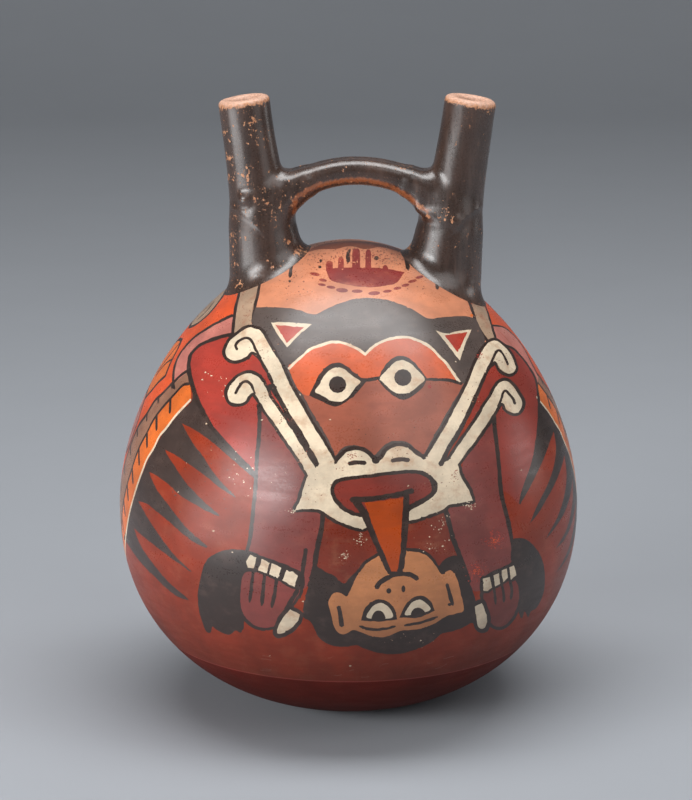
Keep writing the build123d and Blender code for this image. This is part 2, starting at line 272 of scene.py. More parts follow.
def from_round(places):
    """Points on the chamber at (degrees from the front, height)."""
    places = np.asarray(places, float)
    angle = np.radians(places[:, 0])
    r = np.interp(-places[:, 1], -line_z, line_r)
    return np.stack([r * np.sin(angle), -r * np.cos(angle), places[:, 1]], 1)


# Curves
def spread(points, step, closed):
    """An even line through given points, smooth except at doubled points, which are corners."""
    clean, corner = [], []
    for p in points:
        if clean and p == clean[-1]:
            corner[-1] = True
        else:
            clean.append(p)
            corner.append(False)
    if closed and clean[0] == clean[-1]:
        clean.pop()
        corner.pop()
        corner[0] = True
    if closed and any(corner):
        k = corner.index(True)
        clean, corner = clean[k:] + clean[: k + 1], corner[k:] + corner[: k + 1]
    n = len(clean)
    looped = closed and not any(corner)
    at = np.array(clean, float)
    made = []
    for i in range(n if looped else n - 1):
        b, c = at[i], at[(i + 1) % n]
        a = at[i - 1] if looped or (i > 0 and not corner[i]) else 2 * b - c
        d = at[(i + 2) % n] if looped or (i + 2 < n and not corner[i + 1]) else 2 * c - b
        count = max(1, int(round(np.hypot(*(c - b)) / step)))
        t = (np.arange(count) / count)[:, None]
        cubic = (2 * a - 5 * b + 4 * c - d) * t**2 + (3 * b - a - 3 * c + d) * t**3
        made.append(0.5 * (2 * b + (c - a) * t + cubic))
    if not closed:
        made.append(at[-1:])
    return np.concatenate(made)


def hand(n, seed):
    """Slow waver between -1 and 1 of a hand-held brush along n samples."""
    t = np.arange(n)
    return sum(np.sin(pace * t + shift * seed) for pace, shift in HAND_WAVES) / len(HAND_WAVES)


def brush(width, count, ends, seed):
    """Half widths along a stroke. Its width at each end is a share of the whole width."""
    t = np.linspace(0, 1, count)
    taper = np.minimum(1, np.minimum(ends[0] + BRUSH_TAPER * t, ends[1] + BRUSH_TAPER * (1 - t)))
    return width / 2 * taper * (1 + BRUSH_WAVER * hand(count, seed))


def outline(path, half):
    """Closed outline of a brush stroke along a path with these half widths."""
    along = np.gradient(path, axis=0)
    along /= np.maximum(np.hypot(along[:, 0], along[:, 1])[:, None], 1e-9)
    side = np.stack([-along[:, 1], along[:, 0]], 1) * half[:, None]
    nose = path[-1] + along[-1] * half[-1] * STROKE_NOSE
    tail = path[0] - along[0] * half[0] * STROKE_NOSE
    return np.concatenate([path + side, nose[None], (path - side)[::-1], tail[None]])


paint = []


def ragged(path):
    """A closed outline in pixels with the small unevenness and chips of worn paint."""
    draw = np.random.default_rng(len(paint))
    n = len(path)
    along = np.roll(path, -1, axis=0) - np.roll(path, 1, axis=0)
    length = np.maximum(np.hypot(along[:, 0], along[:, 1]), 1e-9)[:, None]
    side = np.stack([-along[:, 1], along[:, 0]], 1) / length
    shift = draw.normal(0, RAGGED, n)
    shift = (shift + np.roll(shift, 1) + np.roll(shift, 2)) / 2
    chips = draw.random(n) < CHIP_SHARE
    shift[chips] += draw.uniform(-CHIP_DEPTH, CHIP_DEPTH, chips.sum())
    shift = np.clip(shift, -CHIP_DEPTH, CHIP_DEPTH) * facing(from_pixels(path))
    return path + side * shift[:, None]


def lay(slip, points):
    """Adds a closed outline of points on the chamber, over what is painted so far."""
    paint.append((slip, to_chart(points)))


def fill(slip, pixels):
    """A filled shape by its outline in pixels."""
    lay(slip, from_pixels(ragged(spread(pixels, CURVE_STEP, True))))


def line(pixels, width, slip="black", ends=(1, 1), closed=False):
    """A brush line in pixels."""
    path = spread(pixels, CURVE_STEP, closed)
    if closed:
        path = np.concatenate([path, path[:2]])
    slant = np.minimum(1, facing(from_pixels(path)) / LINE_SQUARE)
    half = brush(width, len(path), ends, pixels[0][0]) * slant
    lay(slip, from_pixels(ragged(outline(path, half))))


def edged(slip, pixels, width=EDGE_WIDTH):
    """A filled shape with a black line round it, of which the outer half shows."""
    line(pixels, width, closed=True)
    fill(slip, pixels)


# The figure is turned a little to the right of the front
FIGURE_TURN = 8.5
BACK = FIGURE_TURN - 180
OTHER_FALL, OTHER_SPAN = 3.0, (95, 150)


def mirrored(points):
    """The same points on the figure's other side, a little lower there."""
    other = 2 * FIGURE_TURN - np.degrees(np.arctan2(points[:, 0], -points[:, 1]))
    return from_round(np.stack([other, points[:, 2] - OTHER_FALL * (1 - smooth(*OTHER_SPAN, other))], 1))


def round_line(places, closed=False):
    """Points on the chamber along a smooth line through (degrees, height) places."""
    return from_round(spread(places, ROUND_STEP, closed))


def stroke(slip, points, half):
    """A brush line through points on the chamber, with half widths in millimetres."""
    chart = to_chart(points)
    paint.append((slip, outline(chart, half * from_chart(chart)[2])))


def fill_round(slip, places):
    """A shape and its mirror image, by (degrees, height) places."""
    points = round_line(places, True)
    lay(slip, points)
    lay(slip, mirrored(points))


def line_round(places, width, slip="black", ends=(1, 1)):
    """A brush line through (degrees, height) places and its mirror image, its width in millimetres."""
    points = round_line(places)
    half = brush(width, len(points), ends, places[0][0])
    stroke(slip, points, half)
    stroke(slip, mirrored(points), half)


def disc(slip, places):
    """Everything above a line round the chamber."""
    angle = np.arange(-180, 180, DISC_STEP)
    a, z = np.array(places, float).T
    lay(slip, from_round(np.stack([angle, np.interp(angle, a, z, period=360)], 1)))


def dab(slip, x, y, wide, high, lean=0.0):
    """A small oval touch of the brush, in pixels."""
    turn = np.linspace(0, 2 * math.pi, DAB_CORNERS, endpoint=False)
    across, up = wide / 2 * np.cos(turn), high / 2 * np.sin(turn)
    c, s = math.cos(lean), math.sin(lean)
    lay(slip, from_pixels(np.stack([x + c * across - s * up, y + s * across + c * up], 1)))


# Painting, from the ground up
BASE_LINE, BASE_STROKE, BASE_WAVER = 23.6, 0.28, [(0, 0), (90, 0.4), (180, -0.2), (270, 0.3)]
TAN_OUTER = [
    (-62, 116), (-65, 114), (-67, 111), (-70, 107), (-73, 104), (-75, 99), (-78, 95), (-79.5, 91),
    (-81, 86), (-83, 80), (-86, 72), (-90, 62), (-96, 53), (-104, 46), (-115, 41), (-130, 38), (-150, 36.5),
    (BACK, 36),
]
TAN_INNER = [
    (-57, 113), (-60, 112), (-62, 109), (-64, 106), (-66, 103), (-68, 99), (-69, 95), (-71, 90), (-72, 86),
    (-73, 81), (-75, 75), (-78, 66), (-82, 57), (-88, 49), (-97, 42), (-110, 36), (-125, 32.5),
    (-150, 30.5), (BACK, 30),
]
BAND_INNER = [
    (-53, 109), (-55, 106), (-57, 103), (-59, 99), (-61, 96), (-62, 92), (-64, 88), (-65, 84), (-67, 77),
    (-69, 71), (-73, 61.5), (-79, 52), (-86, 44.5), (-96, 37), (-110, 31.5), (-125, 28.3), (-150, 26),
    (BACK, 25.6),
]
LEAF = [
    (-90, 135.8), (-90, 135.8), (-84, 134.6), (-80, 132.4), (-78.7, 130.2), (-80, 127.9), (-83, 126),
    (-88, 124.3), (-88, 124.3), (-96, 125), (-103, 129), (-104, 132.5), (-99, 135.5),
]
LENS = [
    (-88, 103.5), (-88, 103.5), (-83, 98), (-81.5, 93), (-82.5, 87), (-86, 83), (-86, 83), (-91, 87),
    (-95, 93), (-94, 100),
]
DIAMOND = [
    (-84, 121), (-84, 121), (-80.5, 119), (-78.5, 116), (-76.5, 113.3), (-75, 111.5), (-75, 111.5),
    (-78.5, 108.5), (-81, 105.4), (-85, 101.8), (-85, 101.8), (-92, 105), (-99, 110), (-97, 115),
    (-91, 119.5),
]
MOTIFS = [
    ("tan", LEAF, [[(-89, 132.6), (-85, 130), (-86.5, 127)]]),
    ("band", DIAMOND, [[(-78.5, 116), (-83, 113.5), (-88, 108)], [(-83.5, 120), (-86, 114), (-91, 108)]]),
    ("pink", LENS, [[(-86.5, 99), (-85, 94), (-86, 88)]]),
]
MOTIF_MIDDLE, MOTIF_TURN, MOTIF_FALL, LOW_MOTIF = -89.0, 33.8, 56.0, 0.66
MOTIF_EDGE, MOTIF_STROKE = 1.4, 1.0
MOTIF_PLACES = [
    (0, 0, 1), (MOTIF_TURN, 0, 1), (2 * MOTIF_TURN, 0, 1), (MOTIF_TURN, MOTIF_FALL, LOW_MOTIF),
    (2 * MOTIF_TURN, MOTIF_FALL, LOW_MOTIF),
]
# Ticks: how many, where the first is along the band, their width and how far across they reach
TAN_TICKS, BAND_TICKS = (21, 0.05, 1.1, 0.4), (23, 0.06, 1.3, 0.6)
CROWN_EDGE = [(-52, 136.5), (-60, 139.3), (-90, 141), (-130, 140), (BACK, 139.5)]
CROWN_FRONT = [(69, 133.5), (62, 126), (52, 121), (8.5, 119.5), (-36, 121), (-45, 127), (-52, 136.5)]


def ticks(outer, inner, count, first, width, reach):
    """Short strokes across a band between two of its edges."""
    a, b = spread(outer, ROUND_STEP, False), spread(inner, ROUND_STEP, False)
    for i in range(count):
        t = first + (1 - first) * i / count
        p, q = a[int(t * (len(a) - 1))], b[int(t * (len(b) - 1))]
        line_round([tuple(p), tuple(p + (q - p) * reach)], width, ends=(1, 0.7))


def moved(places, turn, fall, share):
    """A side motif's places turned towards the back and lowered, with this share of their angles."""
    return [(MOTIF_MIDDLE - turn + (a - MOTIF_MIDDLE) * share, z - fall) for a, z in places]


def paint_ground():
    """Red body over a darker base, the cape's ground and motifs behind it, and a pale orange crown."""
    disc("body", [(turn, BASE_LINE + rise) for turn, rise in BASE_WAVER])
    for start in (-180, -60, 60):
        path = [(start + step, BASE_LINE + 0.1) for step in range(0, 121, 20)]
        stroke("ear", round_line(path), BASE_STROKE)
    edge, top, rear = round_line(TAN_OUTER), round_line(CROWN_FRONT), round_line(CROWN_EDGE)
    lay("vermilion", np.concatenate([edge, mirrored(edge)[::-1], top]))
    for turn, fall, share in MOTIF_PLACES:
        for slip, shape, strokes in MOTIFS:
            fill_round(slip, moved(shape, turn, fall, share))
            line_round(moved(shape + shape[:1], turn, fall, share), MOTIF_EDGE)
            for touch in strokes:
                line_round(moved(touch, turn, fall, share), MOTIF_STROKE, ends=(0.8, 0.5))
    lay("crown", np.concatenate([rear, mirrored(rear)[::-1], top]))
    line_round(CROWN_EDGE, 1.5)


def paint_bands():
    """The striped border that runs from the shoulders round the back."""
    fill_round("umber", TAN_OUTER + TAN_INNER[::-1])
    fill_round("band", TAN_INNER + BAND_INNER[::-1])
    ticks(TAN_OUTER, TAN_INNER, *TAN_TICKS)
    ticks(TAN_INNER, BAND_INNER, *BAND_TICKS)
    line_round(TAN_OUTER, 1.5)
    line_round(TAN_INNER, 1.2)


CREAM_LINE = [
    (192, 402), (184, 409), (176, 418), (168, 428), (161, 438), (155, 449), (149, 460), (144, 472),
    (139, 485), (134, 500), (130, 515), (127, 530), (125, 538),
]
WING_FOOT = [(126, 540), (130, 546), (136, 555), (145, 566), (155, 576), (165, 586), (178, 596), (190, 600)]
WING_TIPS = [
    (192, 571), (192, 571), (208, 546.5), (208, 546.5), (220, 514.5), (220, 514.5), (236, 497.5),
    (236, 497.5), (254, 478), (254, 478),
]
WING_HEAD = [(238, 457), (220, 437), (205, 415), (195, 392)]
SPIKES = [
    ([(183, 424), (190, 427), (200, 433), (212, 442), (225, 453), (240, 466), (254, 478)],
     [(236, 497), (220, 480), (212, 470), (204, 457), (194, 444), (187, 432)]),
    ([(166, 450), (172, 453), (182, 459), (195, 468), (207, 477), (218, 486), (236, 498)],
     [(220, 515), (205, 502), (195, 492), (186, 482), (178, 470), (170, 458)]),
    ([(150, 472), (156, 475), (165, 481), (174, 489), (183, 497), (195, 504), (207, 511), (219, 516)],
     [(208, 546), (195, 535), (185, 525), (175, 513), (167, 502), (158, 490), (153, 480)]),
    ([(139, 501), (148, 504), (157, 511), (168, 520), (180, 531), (190, 539), (200, 545), (208, 548)],
     [(192, 571), (178, 558), (168, 546), (158, 532), (150, 520), (143, 508)]),
    ([(135, 528), (140, 533), (150, 541), (160, 549), (172, 558), (182, 565), (192, 572)],
     [(190, 600), (185, 595), (172, 584), (160, 571), (150, 558), (143, 548), (138, 537)]),
]
SPIKE_PAST = 4.0
RIGHT_WING = [
    (70.1, 105.5), (70.1, 105.5), (65, 100.2), (61.2, 96.4), (57.8, 92.7), (54.6, 89.4), (51, 85.6),
    (48, 82), (46.6, 78.3), (46.6, 78.3), (51.6, 82.6), (55.6, 85.8), (60.4, 89), (66.3, 92.4), (72, 94.6),
    (72, 94.6), (69.9, 90.2), (65.7, 86), (60.7, 82), (55.5, 78.1), (52.2, 75), (49.7, 71.5), (49.7, 71.5),
    (53.6, 73.8), (58.2, 77.1), (64.1, 80.5), (68.3, 82.7), (75, 86), (75, 86), (72.7, 79.9), (68.2, 74.7),
    (63.2, 70), (58.8, 66.7), (56.1, 64.3), (56.1, 64.3), (62.2, 67.1), (68.2, 69.9), (73.2, 73.1),
    (78.5, 77), (78.5, 77), (76.8, 73), (73.7, 68.2), (69.4, 63.7), (65.2, 61.2), (61.9, 59.3),
    (61.9, 59.3), (67, 60.3), (72, 62.5), (77, 66), (81, 69), (81, 69), (79.5, 65), (76, 60), (72.9, 56),
    (68, 52.3), (64.2, 50.3), (64.2, 50.3), (69, 51.3), (75, 53.5), (80, 57), (88.5, 61), (88.5, 61),
    (86.2, 67.6), (84, 74), (82.2, 80.6), (81, 84.6), (79.4, 88.6), (78.2, 92.4), (76.4, 95.6),
    (74.4, 99.2), (72.2, 102.4),
]


def paint_wings():
    """Black wings with red spikes between their feathers."""
    # The left wing takes a lighter black than the right wing: worn scuffs and painted sheen on the lit side
    # together
    fill("wing", CREAM_LINE + WING_FOOT[:1] + WING_FOOT + WING_FOOT[-1:] + WING_TIPS + WING_HEAD)
    for upper, lower in SPIKES:
        (a, b), (c, d) = upper[-1], lower[0]
        past = ((a + c) / 2 + SPIKE_PAST, (b + d) / 2 + SPIKE_PAST)
        fill("body", upper[:1] + upper + upper[-1:] + [past, past] + lower[:1] + lower)


LEFT_PINK = [
    (233, 316), (224.5, 320), (214, 325.5), (204, 331.5), (195.5, 337.5), (187, 346), (181, 354),
    (177, 362), (174.5, 372), (174, 383), (175, 389),
]
LEFT_PINK_LOW = [
    (189, 371), (189.5, 364), (191, 356), (195.5, 350), (202, 345), (211, 341), (221, 337.5), (232, 335),
]
LEFT_LOBE = [
    (191, 356), (189.5, 364), (190, 373), (192, 382), (195, 392), (199, 403), (205, 415), (212, 427),
    (220, 437), (230, 448), (238, 457), (246, 465), (257, 478),
]
LEFT_ARM_LINE = [
    (259, 405), (260, 420), (259, 440), (257, 460), (256, 485), (254, 505), (252, 525), (250, 540),
    (247, 552),
]
RIGHT_PINK = [(492, 326), (503, 328), (514, 337), (523, 349), (533, 368), (537, 376)]
RIGHT_PINK_LOW = [(536, 386), (534, 378), (529, 369), (521, 358), (512, 349), (503, 345.5), (496, 341)]
RIGHT_LOBE = [
    (529, 369), (534.5, 379), (536.8, 392), (538, 405), (538, 420), (537, 435), (535, 450), (532, 463),
    (527, 478), (522, 492), (519, 504),
]
RIGHT_ARM_LINE = [
    (492, 405), (493, 415), (494, 430), (496, 445), (498, 465), (500, 490), (503, 505), (507, 520),
    (510, 535), (512, 548), (512, 560),
]
LEFT_LOBE_UNDER = [(262, 478), (300, 470), (290, 420), (262, 350), (245, 330)]
RIGHT_LOBE_UNDER = [(505, 492), (470, 470), (470, 420), (484, 360), (490, 340)]
LEFT_PINK_END = [(174, 383), (180, 377), (186, 372.5), (190, 370)]
LEFT_ARM_INNER = [(262, 560), (300, 590), (318, 560), (324, 515), (310, 470), (290, 425), (268, 400)]
RIGHT_ARM_INNER = [(500, 575), (472, 590), (455, 545), (445, 512), (460, 470), (478, 425), (488, 402)]


def paint_shoulders():
    """Pink bands, the red shoulder lobes and the arms."""
    fill("lobe", LEFT_LOBE + LEFT_LOBE_UNDER + LEFT_PINK_LOW[::-1])
    # The right lobe takes a darker copy of the lobe slip, as painted shade on the less lit side
    fill("deep", RIGHT_LOBE + RIGHT_LOBE_UNDER + RIGHT_PINK_LOW[::-1])
    fill("pink", LEFT_PINK[:-1] + LEFT_PINK_LOW)
    fill("pink", RIGHT_PINK + RIGHT_PINK_LOW)
    line(LEFT_PINK, 2.8)
    line(LEFT_PINK_LOW, 3.6)
    line(LEFT_PINK_END, 2.6)
    line(RIGHT_PINK, 2.8)
    line(RIGHT_PINK_LOW, 3.0)
    lay("black", round_line(RIGHT_WING, True))
    line_round(BAND_INNER, 1.0, "cream")
    line(LEFT_LOBE, 4.6)
    line(RIGHT_LOBE, 3.6, ends=(1, 0.6))
    fill("arm", LEFT_ARM_LINE + LEFT_ARM_INNER)
    fill("arm", RIGHT_ARM_LINE + RIGHT_ARM_INNER)
    line(LEFT_ARM_LINE, 4.0)
    line(RIGHT_ARM_LINE, 4.2)


LEFT_STRAP = [
    (240.5, 291), (237, 305), (235, 316), (233, 334), (250, 328), (252, 322), (254, 312), (257, 300),
    (260, 283),
]
RIGHT_STRAP = [
    (464, 290), (470, 302), (473, 312), (476, 322), (481, 334), (486, 340), (494, 339), (492, 332),
    (489, 322), (486, 313), (482, 303), (476, 291),
]
LEFT_STRAP_OUTER = [(240.5, 291), (237, 305), (235, 316), (233, 335)]
LEFT_STRAP_INNER = [(261, 280), (258, 296), (255, 309), (253, 322)]
RIGHT_STRAP_INNER = [(463, 289), (468, 302), (472, 312), (475, 322), (481, 334), (488, 343)]
RIGHT_STRAP_OUTER = [(477, 291), (483, 303), (487, 313), (490, 323), (495, 339)]


def paint_straps():
    """Two tan straps that come down from the spouts' feet."""
    fill("tan", LEFT_STRAP)
    fill("tan", RIGHT_STRAP)
    line(LEFT_STRAP_OUTER, 3.2)
    line(LEFT_STRAP_INNER, 3.0)
    line(RIGHT_STRAP_INNER, 3.4)
    line(RIGHT_STRAP_OUTER, 3.0)


CAP_TOP = [
    (256, 308), (275, 308), (290, 309), (300, 311), (308, 314), (316, 315), (322, 312), (330, 308),
    (340, 304), (352, 300), (362, 299), (375, 299), (388, 301), (400, 305), (410, 309), (420, 315),
    (428, 319), (440, 318), (452, 317), (465, 317), (475, 319),
]
BROW_LINE = [
    (289, 369), (295, 363), (303, 356), (310, 350), (320, 346), (330, 343), (340, 343), (350, 346),
    (358, 350), (365, 355), (365, 355), (370, 350), (378, 344), (388, 340), (398, 338), (408, 338),
    (420, 342), (430, 348), (438, 356), (446, 364), (452, 373), (459, 383),
]
LEFT_CHEEK = [(301, 390), (312, 412), (320, 425), (330, 443), (335, 455)]
CHEEK_LOW = [
    (341, 449), (348, 446), (358, 446), (366, 449), (374, 455), (382, 447), (390, 442), (398, 441),
    (408, 443), (416, 450), (423, 454),
]
RIGHT_CHEEK = [(431, 440), (438, 428), (445, 415), (452, 403), (458, 393), (463, 384)]
LEFT_EYE = [
    (309, 396), (309, 396), (315, 383), (320, 374), (328, 366), (338, 363), (346, 366), (353, 372),
    (366, 382), (366, 382), (356, 394), (349, 400), (342, 405), (335, 407), (328, 405), (318, 400),
]
LEFT_EYE_WHITE = [
    (315, 392), (320, 384), (326, 374), (333, 369), (339, 368), (346, 371), (353, 377), (360, 382),
    (355, 388), (350, 395), (343, 401), (337, 402), (330, 401), (322, 396),
]
RIGHT_EYE = [
    (377, 380), (377, 380), (383, 369), (388, 362), (396, 357), (404, 357), (412, 361), (427, 379),
    (427, 379), (422, 388), (411, 397), (402, 400), (393, 396), (385, 389),
]
RIGHT_EYE_WHITE = [
    (380, 379), (386, 371), (392, 365), (398, 361), (404, 361), (412, 366), (424, 379), (418, 386),
    (410, 392), (402, 394), (395, 393), (388, 388),
]
CAP_UNDER = [
    (480, 330), (484, 345), (474, 366), (467, 384), (452, 410), (428, 456), (375, 462), (335, 464),
    (303, 408), (272, 350), (260, 333), (252, 325),
]
LEFT_EAR_EDGE = [
    (271, 323), (271, 323), (290, 323), (312, 325), (312, 325), (300, 335), (287, 348), (287, 348),
    (278, 335),
]
LEFT_EAR = [(276, 325.5), (276, 325.5), (304, 328), (304, 328), (287, 343.5), (287, 343.5)]
RIGHT_EAR_EDGE = [
    (435, 331), (435, 331), (446, 334), (458, 331.5), (471, 330), (471, 330), (464, 346), (459, 361),
    (459, 361), (445, 343),
]
RIGHT_EAR = [(444, 336), (444, 336), (467, 332.5), (467, 332.5), (457, 353), (457, 353)]
BROW_UNDER = [(440, 392), (375, 400), (330, 405), (303, 395)]
CHEEK_TOP = [(448, 381), (428, 380), (415, 385), (377, 381), (365, 382), (345, 392), (309, 396)]
EYE_TAIL = [(424, 380), (435, 380), (448, 380.5), (461, 384)]
EYE_BRIDGE = [(360, 380.5), (370, 380), (380, 378)]
LEFT_PUPIL = (337.5, 385, 17.5, 17)
RIGHT_PUPIL = (402.5, 378, 17.5, 17)
EYE_FLECK = (429, 387, 4, 4)


def paint_head():
    """Dark cap with two ears, an orange brow, round eyes and brown cheeks."""
    # The cap's greyer black is partly worn slip, partly painted sheen
    fill("cap", CAP_TOP[:1] + CAP_TOP + CAP_TOP[-1:] + CAP_UNDER)
    fill("cream", LEFT_EAR_EDGE)
    fill("ear", LEFT_EAR)
    fill("cream", RIGHT_EAR_EDGE)
    fill("ear", RIGHT_EAR)
    fill("brow", BROW_LINE + BROW_LINE[-1:] + BROW_UNDER)
    fill("cheek", LEFT_CHEEK + CHEEK_LOW + RIGHT_CHEEK + RIGHT_CHEEK[-1:] + CHEEK_TOP)
    line(BROW_LINE, 2.6, "cream")
    line(EYE_TAIL, 3.0)
    line(EYE_BRIDGE, 3.6)
    fill("black", LEFT_EYE)
    fill("black", RIGHT_EYE)
    fill("cream", LEFT_EYE_WHITE)
    fill("cream", RIGHT_EYE_WHITE)
    dab("black", *LEFT_PUPIL)
    dab("black", *RIGHT_PUPIL)
    dab("lobe", *EYE_FLECK)


LEFT_UPPER = [
    (262, 333), (272, 350), (281, 365), (290, 385), (303, 408), (312, 424), (322, 440), (331, 455),
    (336, 464), (336, 464), (322, 470), (322, 470), (312, 452), (305, 440), (297, 427), (290, 415),
    (283, 402), (273, 380), (267, 368), (259, 356), (252, 352), (247, 357), (241, 360), (235, 361),
    (229, 359), (226, 354), (227, 348), (231, 341), (238, 335), (245, 330), (251, 328), (257, 330),
]
LEFT_LOWER = [
    (252, 374), (260, 379), (266, 388), (270, 398), (277, 408), (285, 420), (293, 432), (302, 447),
    (316, 469), (316, 469), (312, 482), (312, 482), (298, 458), (290, 446), (283, 436), (275, 424),
    (266, 412), (261, 403), (254, 393), (249, 396), (245, 402), (238, 404), (231, 402), (228, 395),
    (230, 387), (236, 380), (243, 375),
]
RIGHT_UPPER = [
    (486, 345), (481, 352), (478, 358), (474, 366), (467, 384), (461, 396), (455, 407), (449, 419),
    (442, 431), (435, 443), (427, 456), (427, 456), (437, 466), (437, 466), (443, 454), (448, 445),
    (455, 434), (461, 424), (466, 412), (471, 402), (476, 392), (481, 383), (485, 375), (491, 364),
    (495, 362), (500, 370), (507, 374), (512, 373), (515, 369), (514, 365), (511, 357), (507, 351),
    (501, 345), (495, 341), (490, 342),
]
RIGHT_LOWER = [
    (496, 386), (490, 397), (484, 406), (478, 417), (471, 427), (464, 437), (457, 447), (447, 462),
    (447, 462), (456, 466), (456, 466), (466, 452), (473, 443), (480, 433), (487, 423), (493, 413),
    (499, 404), (503, 404), (505, 409), (511, 413), (516, 413), (520, 409), (521, 402), (517, 394),
    (513, 388), (507, 382), (501, 382),
]
MASK = [
    (319, 465), (327, 462), (335, 462), (339, 458), (345, 453), (352, 450), (360, 450), (368, 454),
    (373, 459), (377, 461), (381, 458), (386, 451), (393, 447), (400, 446), (408, 448), (416, 454),
    (423, 458), (431, 456), (438, 464), (447, 461), (456, 463), (460, 476), (464, 483), (468, 490),
    (472, 500.5), (472, 500.5), (465, 502), (457, 503.5), (448, 505), (443, 509), (436, 512), (428, 515),
    (420, 518), (413, 520), (408, 520), (406, 515), (402, 505), (380, 503), (368, 508), (366, 515),
    (368, 520), (367, 526), (362, 528.5), (354, 527), (346, 524), (338, 521), (331, 517), (325, 513),
    (320, 510), (313, 509), (305, 509), (295, 510), (295, 510), (298, 504), (301, 498), (303, 490),
    (306, 481), (309, 475),
]
MOUTH_EDGE = [
    (330, 490), (332, 484), (336, 479), (345, 477), (358, 475.5), (372, 474), (386, 472), (400, 470.5),
    (412, 470), (422, 471), (430, 475), (436, 482), (437, 489), (434, 495), (428, 500), (420, 505),
    (412, 509), (405, 513), (395, 505), (380, 506), (370, 512), (368, 517), (358, 516.5), (350, 514.5),
    (343, 510.5), (337, 505), (332, 498),
]
MOUTH = [
    (334, 490), (337, 484), (345, 481), (358, 479), (372, 477.5), (386, 475.5), (400, 474), (412, 473.5),
    (420, 475), (428, 479), (431, 486), (430, 492), (425, 496), (418, 500), (411, 504), (404, 507),
    (395, 503), (380, 503), (368, 508), (363, 512.5), (355, 512), (347, 508.5), (341, 503), (336, 497),
]
TONGUE = [
    (364, 502.5), (364, 502.5), (375, 501.5), (390, 499.5), (403, 497.5), (403, 497.5), (402, 510),
    (401, 530), (400, 550), (398.5, 562), (397, 571), (397, 571), (391, 571), (391, 571), (385, 556),
    (380, 545), (375, 532), (370, 519),
]
LEFT_UPPER_CURL = [
    (237.5, 350), (236, 346), (239, 342), (244, 339), (249, 339), (253, 343), (256, 350), (261, 359),
]
LEFT_LOWER_CURL = [(236, 394), (239, 388), (243, 383), (248, 382), (252, 386), (255, 394)]
RIGHT_UPPER_CURL = [(507, 365), (504, 358), (500, 352), (497, 351), (494, 355), (491, 362), (486, 372)]
RIGHT_LOWER_CURL = [(514, 404), (512, 399), (508, 394), (505, 391), (502, 393), (501, 398), (497, 407)]
LEFT_WHISKER_GAP = [(270, 386), (277, 395), (290, 418), (300, 433), (312, 455), (317, 465)]
RIGHT_WHISKER_GAP = [(486, 374), (480, 387), (468, 413), (456, 436), (449, 447), (440, 465)]
RIGHT_WHISKER_FILL = [(489, 370), (495, 372), (484, 392), (473, 414), (472, 411)]
NOSE_LINE = [
    (335, 463), (339, 458), (345, 452), (352, 449), (360, 449), (368, 453), (375, 460), (381, 457),
    (386, 450), (393, 446), (400, 445), (408, 447), (416, 453), (424, 458),
]
NOSE_NOTCH = (375.5, 460.5, 8, 7)
LEFT_NOSTRIL = [(348.5, 463.5), (357, 462.5), (365, 463)]
RIGHT_NOSTRIL = [(391.5, 461), (400, 459.5), (408.5, 460)]


def paint_mask():
    """Cream mouth mask with two pairs of curled whiskers, and the mouth."""
    shapes = (LEFT_UPPER, LEFT_LOWER, RIGHT_UPPER, RIGHT_LOWER, MASK)
    for shape in shapes:
        line(shape, EDGE_WIDTH, closed=True)
    for shape in shapes:
        fill("cream", shape)
    line(LEFT_UPPER_CURL, 2.6)
    line(LEFT_LOWER_CURL, 2.6)
    line(RIGHT_UPPER_CURL, 2.6)
    line(RIGHT_LOWER_CURL, 2.6)
    line(LEFT_WHISKER_GAP, 4.6)
    line(RIGHT_WHISKER_GAP, 4.6)
    # The darker copy of the lobe slip, painted shade on the less lit right side
    fill("deep", RIGHT_WHISKER_FILL)
    line(NOSE_LINE, 3.4)
    dab("black", *NOSE_NOTCH)
    line(LEFT_NOSTRIL, 4.4)
    line(RIGHT_NOSTRIL, 4.4)
    fill("black", MOUTH_EDGE)
    fill("mouth", MOUTH)


TONGUE_LEFT = [(356, 501), (363, 512), (370, 527), (378, 545), (385, 560), (391, 572)]
TONGUE_RIGHT = [(406, 495), (405, 520), (403, 545), (401, 565), (399, 572)]
TONGUE_TOP = [(351, 499.5), (360, 499.5), (375, 498.5), (390, 496), (402, 493.5), (412, 490.5)]


def paint_tongue():
    """The tongue from the mouth down to the hanging head."""
    line(TONGUE_LEFT, 7.4)
    line(TONGUE_RIGHT, 6.4)
    fill("tongue", TONGUE)
    line(TONGUE_TOP, 5.4)


CHEST = [
    (323, 514), (345, 520), (368, 524), (400, 520), (425, 512), (446, 508), (449, 525), (452, 537),
    (456, 548), (463, 566), (440, 585), (400, 590), (350, 592), (330, 580), (313, 570), (316, 555),
    (319, 540),
]
CHEST_LEFT = [(323, 512), (322, 525), (319, 540), (316, 555), (314, 570), (310, 586)]
CHEST_RIGHT = [(445, 510), (449, 525), (452, 537), (456, 548), (460, 558), (464, 570), (468, 582)]


def paint_chest():
    """The red chest between the arms, with a line at each side."""
    fill("chest", CHEST)
    line(CHEST_LEFT, 5.0)
    line(CHEST_RIGHT, 5.0)


